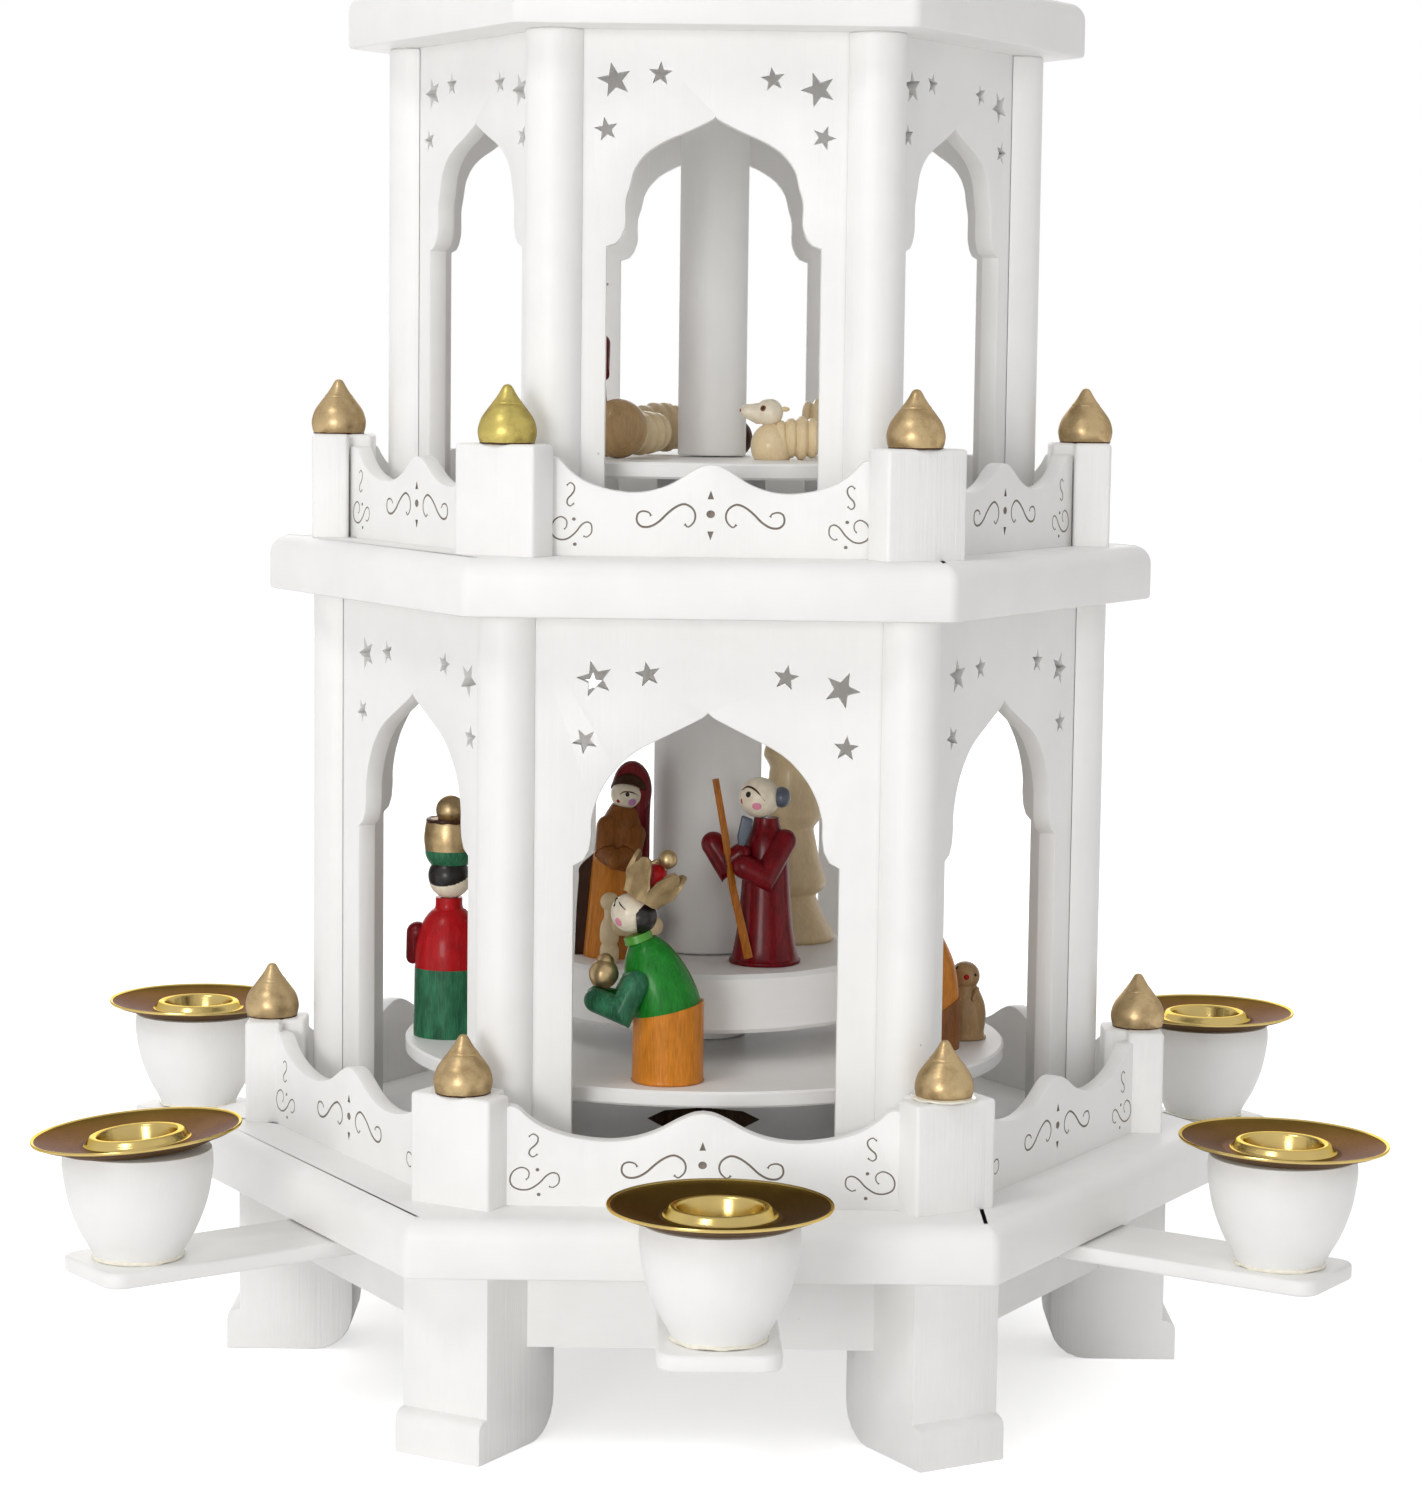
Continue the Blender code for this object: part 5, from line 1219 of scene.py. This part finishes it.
def crown_shape(foot, way, low, high, height, lobes):
    """A flared crown with rounded lobes, cut by hand from a turned cone."""
    wall = 0.95
    bm = turned([(low, 0), (high, height), (high - wall, height + 0.1), (low - wall, 0.2)], 60, closed=True)
    bmesh.ops.subdivide_edges(bm, edges=bm.edges[:], cuts=3, use_grid_fill=True)
    for vert in bm.verts:
        angle = math.atan2(vert.co.x, -vert.co.y)
        share = max(vert.co.z / height, 0)
        lobe = abs(math.sin(lobes * angle / 2))
        vert.co.z -= share ** 1.3 * height * 0.6 * (1 - lobe) ** 1.1
        vert.co += noise.noise_vector(vert.co * 0.5) * 0.3
    return along(bm, foot, Vector(foot) + Vector(way))


def make_standing_king():
    """The standing king, seen from behind."""
    x, y, z = -60.9, -5.2, LOWER_TOP
    head = (-60.7, -5.4, 112.8)
    skirt = robe(x, y, z, [(8.1, 0.0), (8.3, 0.4), (8.2, 8.0), (8.1, 16.3)], 56)
    body = robe(x, y, 91.9, [(8.0, 0.0), (7.9, 4.0), (7.2, 8.0), (5.8, 11.4), (4.2, 13.4), (3.3, 14.2),
        (3.2, 16.6)], 56)
    face = ball(head, 5.0, (1.0, 1.0, 0.92))
    hair = keep_side(ball((-60.9, -5.8, 113.8), 4.95, (1.0, 1.0, 0.96)), (-60.9, -8.0, 111.2), (0.15, -0.3, 0.94))
    x += 0.2
    brim = robe(x, y, 116.4, [(4.6, 0), (5.3, 1.0), (5.8, 2.2), (5.9, 3.4)], 48)
    hat = robe(x, y, 119.8, [(5.9, 0), (6.15, 2.2), (6.1, 4.0), (5.7, 6.6), (5.2, 7.4)], 48)
    band = ruffle(at(turned(ring_profile(5.2, 7.0, 0.62), 56, closed=True), x, y, 119.8), 0.18, 0.6)
    orb = ball((x + 0.1, y, 129.2), 3.5)
    left = bent_arm((-68.4, -4.4, 99.8), (-68.7, -2.6, 95.0), (-65.9, 2.4, 96.0), 2.6, 2.3)
    right = bent_arm((-53.7, -4.4, 99.8), (-53.5, -2.4, 95.0), (-56.7, 2.4, 96.0), 2.6, 2.3)
    make_piece("standing_king_figure", [
        (skirt, "deep_green_stain"), (body, "red_stain"), (face, "cream_enamel"), (hair, "black_enamel"),
        (brim, "deep_green_stain"), (hat, "gold_paint"), (band, "dark_brown_stain"), (orb, "gold_paint"),
        (left, "dark_red_stain"), (right, "dark_red_stain"),
    ] + face_marks(head, 5.0, 1.0), "carousel", ("king_standing",))


def face_marks(head, r, facing):
    """Eyes, brows, cheeks and mouth on the side that a head faces."""
    x, z = head[0], head[2]
    marks = []
    for side in (-1, 1):
        marks.append((dab(head, r, x + side * 1.6, z + 0.4, 0.5, 0.5, facing=facing), "black_enamel"))
        marks.append((dab(head, r, x + side * 2.6, z - 1.5, 0.9, 0.8, proud=0.06, facing=facing), "pink_enamel"))
        brow = ((x + side * 0.8, z + 1.7), (x + side * 1.9, z + 2.1), (x + side * 3.0, z + 1.3))
        marks.append((lash(head, r, brow, (0.08, 0.18, 0.06), facing), "dark_brown_stain"))
    marks.append((dab(head, r, x, z - 1.9, 0.5, 0.35, proud=0.08, facing=facing), "red_stain"))
    return marks


def make_robed_king_and_lamb():
    """The bending king in an orange robe, and the lamb beside him."""
    x, y, z = 51.3, -14.0, LOWER_TOP
    head = (49.1, -14.2, 111.0)
    skirt = robe(x, y, z, [(8.4, 0.0), (8.7, 0.5), (8.7, 13.5)], 56)
    keep_side(skirt, (x, y, 83.5), (0.5, 0, -1))
    torso = along(turned([(0, 0)] + smooth_profile([
        (8.5, 0.0), (8.6, 3.5), (8.45, 7.0), (7.8, 11.0), (6.2, 15.5), (4.7, 18.8),
            (3.4, 21.5)], 4) + [(0, 21.5)], 56),
        (x, y, 85.0), (49.4, y, 106.5))
    keep_side(torso, (x, y, 83.5), (-0.5, 0, 1))
    hair = keep_side(ball((49.1, -14.6, 111.7), 5.0), (49.1, -14.6, 109.6), (0, -0.7, 0.7))
    hat = robe(49.2, y, 114.0, [(4.6, 0), (4.9, 1), (5.2, 5.5), (4.6, 6.6)], 48)
    orb = ball((49.2, y, 122.8), 2.7, steps=24)
    left = bent_arm((43.6, -12, 101), (43.2, -8.8, 94.6), (46.6, -4.8, 96.0), 2.6, 2.3)
    right = bent_arm((53.6, -8.5, 99), (53.0, -5.6, 94.4), (50.6, -4.4, 96.0), 2.6, 2.3)
    make_piece("robed_king_figure", [
        (skirt, "brown_stain"), (torso, "orange_stain"), (ball(head, 4.8), "cream_enamel"), (hair, "black_enamel"),
        (hat, "dark_red_stain"), (orb, "gold_paint"), (left, "orange_stain"), (right, "orange_stain"),
    ] + face_marks(head, 4.8, 1.0), "carousel", ("king_robed",))
    x, y = 61.9, -2.0
    body = robe(x, y, z, [(4.9, 0), (5.3, 0.4), (4.7, 1.4), (5.0, 4.0), (5.1, 6.0), (4.7, 8.6), (3.6, 11.2),
        (2.6, 13.0)], 40)
    skull = (x, y, 90.6)
    nose = dab(skull, 3.5, 62.0, 90.8, 0.68, 0.68)
    ear = dowel((64.6, -5.2, 88.0), (63.6, -6.0, 85.6), 0.5, 0.5, 12)
    make_piece("lamb_figure", [
        (body, "tan_varnish"), (ball(skull, 3.5), "tan_varnish"), (nose, "red_stain"), (ear, "tan_varnish"),
        (dab(skull, 3.5, 59.8, 92.8, 0.4, 0.5), "black_enamel"),
            (dab(skull, 3.5, 64.2, 91.2, 0.4, 0.4), "black_enamel"),
    ], "carousel", ("lamb",))


def fleece(start, end, radius, rings):
    """A ringed body that lies from start to end."""
    length = (Vector(end) - Vector(start)).length
    pitch = length / rings
    line = [(0.0, 0.0), (radius * 0.55, 0.05 * pitch)]
    for ring in range(rings):
        swell = radius * (1.0 - 0.10 * abs(ring - (rings - 1) / 2))
        line += [(swell * 0.88, pitch * (ring + 0.08)), (swell * 0.985, pitch * (ring + 0.28)),
                 (swell, pitch * (ring + 0.5)), (swell * 0.985, pitch * (ring + 0.72)),
                     (swell * 0.88, pitch * (ring + 0.92))]
    line += [(radius * 0.5, length), (0.0, length)]
    return along(turned(line, 40), start, end)


def make_sheep():
    """Sheep with ringed bodies on the middle disc."""
    top = level("middle_turntable", 1) + 0.05
    head = (13.1, -21.0, 223.9)
    r = 3.2
    muzzle = dowel((10.6, -21.0, 223.7), (8.2, -21.2, 224.1), 2.5, 1.7)
    nose = ball((6.7, -21.2, 224.3), 0.45, steps=12)
    chest = keep_side(ball((13.8, -21.0, 216.2), 1.0, (4.9, 4.9, 5.4)), (13.8, -21.0, top), (0, 0, 1))
    body = keep_side(fleece((14.5, -21.0, 218.1), (26.5, -20.0, 218.1), 5.1, 5), (20.0, -20.5, top), (0, 0, 1))
    ear = ball((16.6, -21.4, 224.7), 1.0, (1.2, 0.8, 0.6), 16)
    eye = dab(head, r, 11.6, 224.9, 0.45, 0.45, proud=0.22)
    rim = dab(head, r, 11.6, 224.9, 0.75, 0.75, proud=0.1)
    make_piece("sheep_front", [
        (ball(head, r), "cream_enamel"), (muzzle, "cream_enamel"), (nose, "red_stain"), (chest, "varnished_wood"),
        (body, "varnished_wood"), (ear, "varnished_wood"), (eye, "black_enamel"), (rim, "brown_stain"),
    ], "carousel", ("sheep_1",))
    oval = keep_side(ball((-21.3, -26.5, 219.9), 1.0, (6.6, 5.6, 6.8)), (-21.3, -26.5, top), (0, 0, 1))
    body = keep_side(fleece((-19.6, -24.6, top + 5.2), (-12.4, -13.5, top + 6.0), 5.2, 4), (-16, -19, top), (0, 0, 1))
    make_piece("sheep_back_turned", [(oval, "tan_varnish"), (body, "varnished_wood")],
               "carousel", ("sheep_2",))


def make_rear_flock():
    """Two more sheep behind, of which the arches show only parts."""
    top = level("middle_turntable", 1) + 0.05
    back = keep_side(fleece((-17.4, 8.0, 219.6), (-7.5, 14.5, 219.6), 6.2, 4), (-12.0, 11.0, top), (0, 0, 1))
    make_piece("sheep_rear_left", [(back, "varnished_wood")], "carousel")
    back = keep_side(fleece((21.5, 10.0, 220.6), (31.0, 9.0, 220.6), 6.6, 4), (26.0, 9.5, top), (0, 0, 1))
    make_piece("sheep_rear_right", [(back, "varnished_wood")], "carousel")
    egg = keep_side(ball((5.5, 13.0, 217.2), 1.0, (4.2, 3.5, 4.6)), (5.5, 13.0, top), (0, 0, 1))
    make_piece("dark_egg", [(egg, "dark_brown_stain")], "carousel")


def make_shepherd():
    """The shepherd at the left of the middle disc, with a hat and a crook."""
    x, y, z = -30.7, -9.0, level("middle_turntable", 1) + 0.05
    head = (x, y - 0.4, z + 37.0)
    gown = robe(x, y, z, [(6.9, 0), (7.1, 0.6), (6.6, 8.0), (5.9, 18.0), (5.2, 26.0), (3.6, 31.6), (2.8, 33.2)])
    hat = robe(x, y - 0.4, z + 39.4, [(6.2, 0), (6.3, 0.5), (4.4, 1.2), (4.2, 3.6), (3.3, 4.9), (0.5, 5.3)])
    left = bent_arm((x - 4.8, y - 2.6, z + 26.0), (x - 4.8, y - 5.4, z + 20.4),
        (x - 2.6, y - 7.4, z + 21.6), 2.2, 2.0)
    right = bent_arm((x + 4.8, y - 2.6, z + 26.0), (x + 4.8, y - 5.4, z + 20.4),
        (x + 2.6, y - 7.4, z + 21.6), 2.2, 2.0)
    make_piece("shepherd_figure", [
        (gown, "dark_red_stain"), (ball(head, 4.4), "cream_enamel"), (hat, "dark_brown_stain"),
        (left, "dark_red_stain"), (right, "dark_red_stain"),
    ] + face_marks(head, 4.4, -1.0), "carousel", ("shepherd",))


def make_angels():
    """Three angels on a ring, on the upper disc."""
    low = level("upper_turntable", 1) + 0.3
    ring = turned(disc_line(20.5, 33.5, low, low + 2.5, 0.4), 96, closed=True)
    parts = [(ring, "varnished_wood")]
    foot = low + 2.5
    for index in range(3):
        turn = math.tau * (index + 0.5) / 3
        matrix = Matrix.Rotation(turn, 4, "Z")
        gown = robe(27, 0, foot, [(5.5, 0), (5.8, 0.6), (5.0, 9.0), (4.4, 17.0), (3.4, 22.4), (2.4, 24.6)])
        head = ball((27, 0, foot + 28.4), 3.7)
        hair = keep_side(ball((26.7, 0, foot + 28.7), 3.95), (26.4, 0, foot + 28.6), (-0.8, 0, 0.6))
        for bm, name in ((gown, "cream_enamel"), (head, "cream_enamel"), (hair, "gold_paint")):
            parts.append((put(bm, matrix), name))
        for side in (-1, 1):
            outline = [(0, 12), (3.2, 10.5), (6.6, 15), (8.4, 21), (7.6, 26.4), (4.6, 24.0), (1.8, 20.6), (0, 18)]
            wing = slab([(24.0, side * across, foot + up) for across, up in outline], (-1.3, 0, 0))
            parts.append((put(soften(wing, 0.35, 2), matrix), "gold_paint"))
            arm = bent_arm((27.6, side * 3.8, foot + 19.6), (29.6, side * 3.6, foot + 15.4),
                (31.2, side * 1.2, foot + 17.0), 1.5, 1.3)
            parts.append((put(arm, matrix), "cream_enamel"))
        eyes = [dab((27, 0, foot + 28.4), 3.7, 27 + 1.2, foot + 28.8, 0.4, 0.4, facing=facing) for facing in (-1, 1)]
        parts += [(put(eye, matrix), "black_enamel") for eye in eyes]
    make_piece("angel_ring", parts, "carousel", ("angel_choir",))


def dress_carried_nodes():
    """Finishes for the CAD nodes that keep their own shape."""
    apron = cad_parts["apron_ring"]
    for spot in apron.material_slots:
        spot.material = finish("white_along")


# Stage

FLOOR_HALF = 6.0
FLOOR_GLOW = 0.55
SKY_GLOW = 0.59
# Lamps: name, place and aim in metres, size in metres, power in watts
LAMPS = (
    ("key_light", (-1.0, -1.3, 2.0), (0, 0, 0.15), 0.6, 9.5),
    ("front_light", (-0.75, -2.05, 0.35), (0, 0, 0.05), 0.6, 13.0),
    ("back_light", (-0.2, 2.1, 0.75), (0, 0, 0.1), 1.6, 12.0),
)
CAMERA_PLACE = (0.0007, -0.870, 0.237)
CAMERA_DROP = math.radians(6.123)
CAMERA_ROLL = math.radians(0.711)
LENS = 88.53
SENSOR = 36.0
WHITE = (1.0, 1.0, 1.0, 1.0)


def make_stage():
    """Floor, soft studio light, white surround and the camera."""
    scene = bpy.context.scene
    bm = bmesh.new()
    bmesh.ops.create_grid(bm, x_segments=4, y_segments=4, size=FLOOR_HALF)
    mesh = bpy.data.meshes.new("floor")
    bm.to_mesh(mesh)
    bm.free()
    mesh.materials.append(floor_material())
    floor = linked("floor", mesh)
    make_world(scene)
    for name, place, aim, size, power in LAMPS:
        light = bpy.data.lights.new(name, "AREA")
        light.size = size
        light.energy = power
        lamp = linked(name, light)
        lamp.location = place
        lamp.rotation_euler = (Vector(aim) - Vector(place)).to_track_quat("-Z", "Y").to_euler()
    camera = bpy.data.cameras.new("camera")
    camera.lens = LENS
    camera.sensor_width = SENSOR
    view = linked("camera", camera)
    tilt = Matrix.Rotation(math.pi / 2 - CAMERA_DROP, 4, "X") @ Matrix.Rotation(CAMERA_ROLL, 4, "Z")
    view.matrix_world = Matrix.Translation(CAMERA_PLACE) @ tilt
    scene.camera = view
    scene.view_settings.view_transform = "Standard"


def seen_ray(tree):
    """1 for rays that show the surround itself: camera, mirror and glass rays."""
    path = node(tree, "ShaderNodeLightPath").outputs
    first = calc(tree, "MAXIMUM", path["Is Camera Ray"], path["Is Glossy Ray"])
    return calc(tree, "MAXIMUM", first, path["Is Transmission Ray"])


def floor_material():
    """White paper sweep: matte, with a little glow of its own so that it meets the white surround."""
    material, tree, shader = start_material("paper_floor")
    fibre = clouds(tree, "even", 900.0, 900.0, 2.0, 0.5)
    wire(tree, shader, {
        "Base Color": over(tree, fibre, linear("F6F6F6"), linear("FAFAFA")),
        "Roughness": 0.9, "Specular IOR Level": 0.1,
    })
    strength = calc(tree, "MULTIPLY", seen_ray(tree), FLOOR_GLOW)
    glow = node(tree, "ShaderNodeEmission", {"Color": WHITE, "Strength": strength})
    total = node(tree, "ShaderNodeAddShader", {0: shader.outputs[0], 1: glow.outputs[0]})
    wire(tree, tree.nodes["Material Output"], {"Surface": total.outputs[0]})
    return material


def make_world(scene):
    """A white surround that is seen at full white and lights more gently."""
    world = bpy.data.worlds.new("surround")
    world.use_nodes = True
    scene.world = world
    tree = world.node_tree
    strength = between(tree, seen_ray(tree), SKY_GLOW, 1.0)
    wire(tree, tree.nodes["Background"], {"Color": WHITE, "Strength": strength})


# Add-on

class CAROUSEL_OT_plates(bpy.types.Operator):
    """Builds the base, the decks and the roof"""
    bl_idname = "carousel.plates"
    bl_label = "Plates"

    def execute(self, context):
        make_plates()
        return {"FINISHED"}


class CAROUSEL_OT_columns(bpy.types.Operator):
    """Builds the turned columns at the corners"""
    bl_idname = "carousel.columns"
    bl_label = "Columns"

    def execute(self, context):
        make_columns()
        return {"FINISHED"}


class CAROUSEL_OT_panels(bpy.types.Operator):
    """Builds the panels with their arches and stars"""
    bl_idname = "carousel.panels"
    bl_label = "Arch panels"

    def execute(self, context):
        make_panels()
        return {"FINISHED"}


class CAROUSEL_OT_rails(bpy.types.Operator):
    """Builds the engraved rail boards"""
    bl_idname = "carousel.rails"
    bl_label = "Rail boards"

    def execute(self, context):
        make_rails()
        return {"FINISHED"}


class CAROUSEL_OT_posts(bpy.types.Operator):
    """Builds the rail posts"""
    bl_idname = "carousel.posts"
    bl_label = "Posts"

    def execute(self, context):
        make_posts()
        return {"FINISHED"}


class CAROUSEL_OT_finials(bpy.types.Operator):
    """Builds the gold onion finials"""
    bl_idname = "carousel.finials"
    bl_label = "Finials"

    def execute(self, context):
        make_finials()
        return {"FINISHED"}


class CAROUSEL_OT_legs(bpy.types.Operator):
    """Builds the legs and paints the apron"""
    bl_idname = "carousel.legs"
    bl_label = "Legs and apron"

    def execute(self, context):
        make_legs()
        dress_carried_nodes()
        return {"FINISHED"}


class CAROUSEL_OT_arms(bpy.types.Operator):
    """Builds the flat candle arms"""
    bl_idname = "carousel.arms"
    bl_label = "Candle arms"

    def execute(self, context):
        make_arms()
        return {"FINISHED"}


class CAROUSEL_OT_cups(bpy.types.Operator):
    """Builds the turned candle cups"""
    bl_idname = "carousel.cups"
    bl_label = "Candle cups"

    def execute(self, context):
        make_cups()
        return {"FINISHED"}


class CAROUSEL_OT_dishes(bpy.types.Operator):
    """Builds the brass drip dishes"""
    bl_idname = "carousel.dishes"
    bl_label = "Drip dishes"

    def execute(self, context):
        make_dishes()
        return {"FINISHED"}


class CAROUSEL_OT_centre(bpy.types.Operator):
    """Builds the shaft, the discs, the pedestal and the sleeves"""
    bl_idname = "carousel.centre"
    bl_label = "Turning centre"

    def execute(self, context):
        make_centre()
        return {"FINISHED"}


class CAROUSEL_OT_bearings(bpy.types.Operator):
    """Builds the bearing bridge, the bearing cup and the bush"""
    bl_idname = "carousel.bearings"
    bl_label = "Bearings"

    def execute(self, context):
        make_bearings()
        return {"FINISHED"}


class CAROUSEL_OT_rotor(bpy.types.Operator):
    """Builds the rotor and its knob"""
    bl_idname = "carousel.rotor"
    bl_label = "Rotor"

    def execute(self, context):
        make_rotor()
        return {"FINISHED"}


class CAROUSEL_OT_pedestal_figures(bpy.types.Operator):
    """Builds the figures on the pedestal"""
    bl_idname = "carousel.pedestal_figures"
    bl_label = "Pedestal figures"

    def execute(self, context):
        make_man_with_staff()
        make_hooded_woman()
        make_child_and_tree()
        return {"FINISHED"}


class CAROUSEL_OT_kings(bpy.types.Operator):
    """Builds the kings and the lamb on the lower disc"""
    bl_idname = "carousel.kings"
    bl_label = "Kings and lamb"

    def execute(self, context):
        make_kneeling_king()
        make_standing_king()
        make_robed_king_and_lamb()
        return {"FINISHED"}


class CAROUSEL_OT_flock(bpy.types.Operator):
    """Builds the shepherd and the sheep on the middle disc"""
    bl_idname = "carousel.flock"
    bl_label = "Shepherd and sheep"

    def execute(self, context):
        make_sheep()
        make_rear_flock()
        make_shepherd()
        return {"FINISHED"}


class CAROUSEL_OT_angels(bpy.types.Operator):
    """Builds the angels on the upper disc"""
    bl_idname = "carousel.angels"
    bl_label = "Angels"

    def execute(self, context):
        make_angels()
        return {"FINISHED"}


class CAROUSEL_OT_stage(bpy.types.Operator):
    """Sets up the floor, the lights and the camera"""
    bl_idname = "carousel.stage"
    bl_label = "Stage"

    def execute(self, context):
        make_stage()
        return {"FINISHED"}


OPERATORS = (
    CAROUSEL_OT_plates, CAROUSEL_OT_columns, CAROUSEL_OT_panels, CAROUSEL_OT_rails, CAROUSEL_OT_posts,
    CAROUSEL_OT_finials, CAROUSEL_OT_legs, CAROUSEL_OT_arms, CAROUSEL_OT_cups, CAROUSEL_OT_dishes,
    CAROUSEL_OT_centre, CAROUSEL_OT_bearings, CAROUSEL_OT_rotor, CAROUSEL_OT_pedestal_figures,
    CAROUSEL_OT_kings, CAROUSEL_OT_flock, CAROUSEL_OT_angels, CAROUSEL_OT_stage,
)


class CAROUSEL_PT_panel(bpy.types.Panel):
    """Lists the carousel's pieces, sizes and colours"""
    bl_label = "Candle Carousel"
    bl_space_type = "VIEW_3D"
    bl_region_type = "UI"
    bl_category = "Carousel"

    def draw(self, context):
        for group in (context.scene.carousel_sizes, context.scene.carousel_colours):
            for name in group.__annotations__:
                self.layout.prop(group, name)
        for operator in OPERATORS:
            self.layout.operator(operator.bl_idname)


CLASSES = (CarouselColours, CarouselSizes) + OPERATORS + (CAROUSEL_PT_panel,)


def register():
    for item in CLASSES:
        bpy.utils.register_class(item)
    bpy.types.Scene.carousel_sizes = bpy.props.PointerProperty(type=CarouselSizes)
    bpy.types.Scene.carousel_colours = bpy.props.PointerProperty(type=CarouselColours)


def unregister():
    del bpy.types.Scene.carousel_colours
    del bpy.types.Scene.carousel_sizes
    for item in reversed(CLASSES):
        bpy.utils.unregister_class(item)


def main():
    """Builds every piece in order."""
    register()
    for operator in OPERATORS:
        group, name = operator.bl_idname.split(".")
        getattr(getattr(bpy.ops, group), name)()


if __name__ == "__main__":
    main()
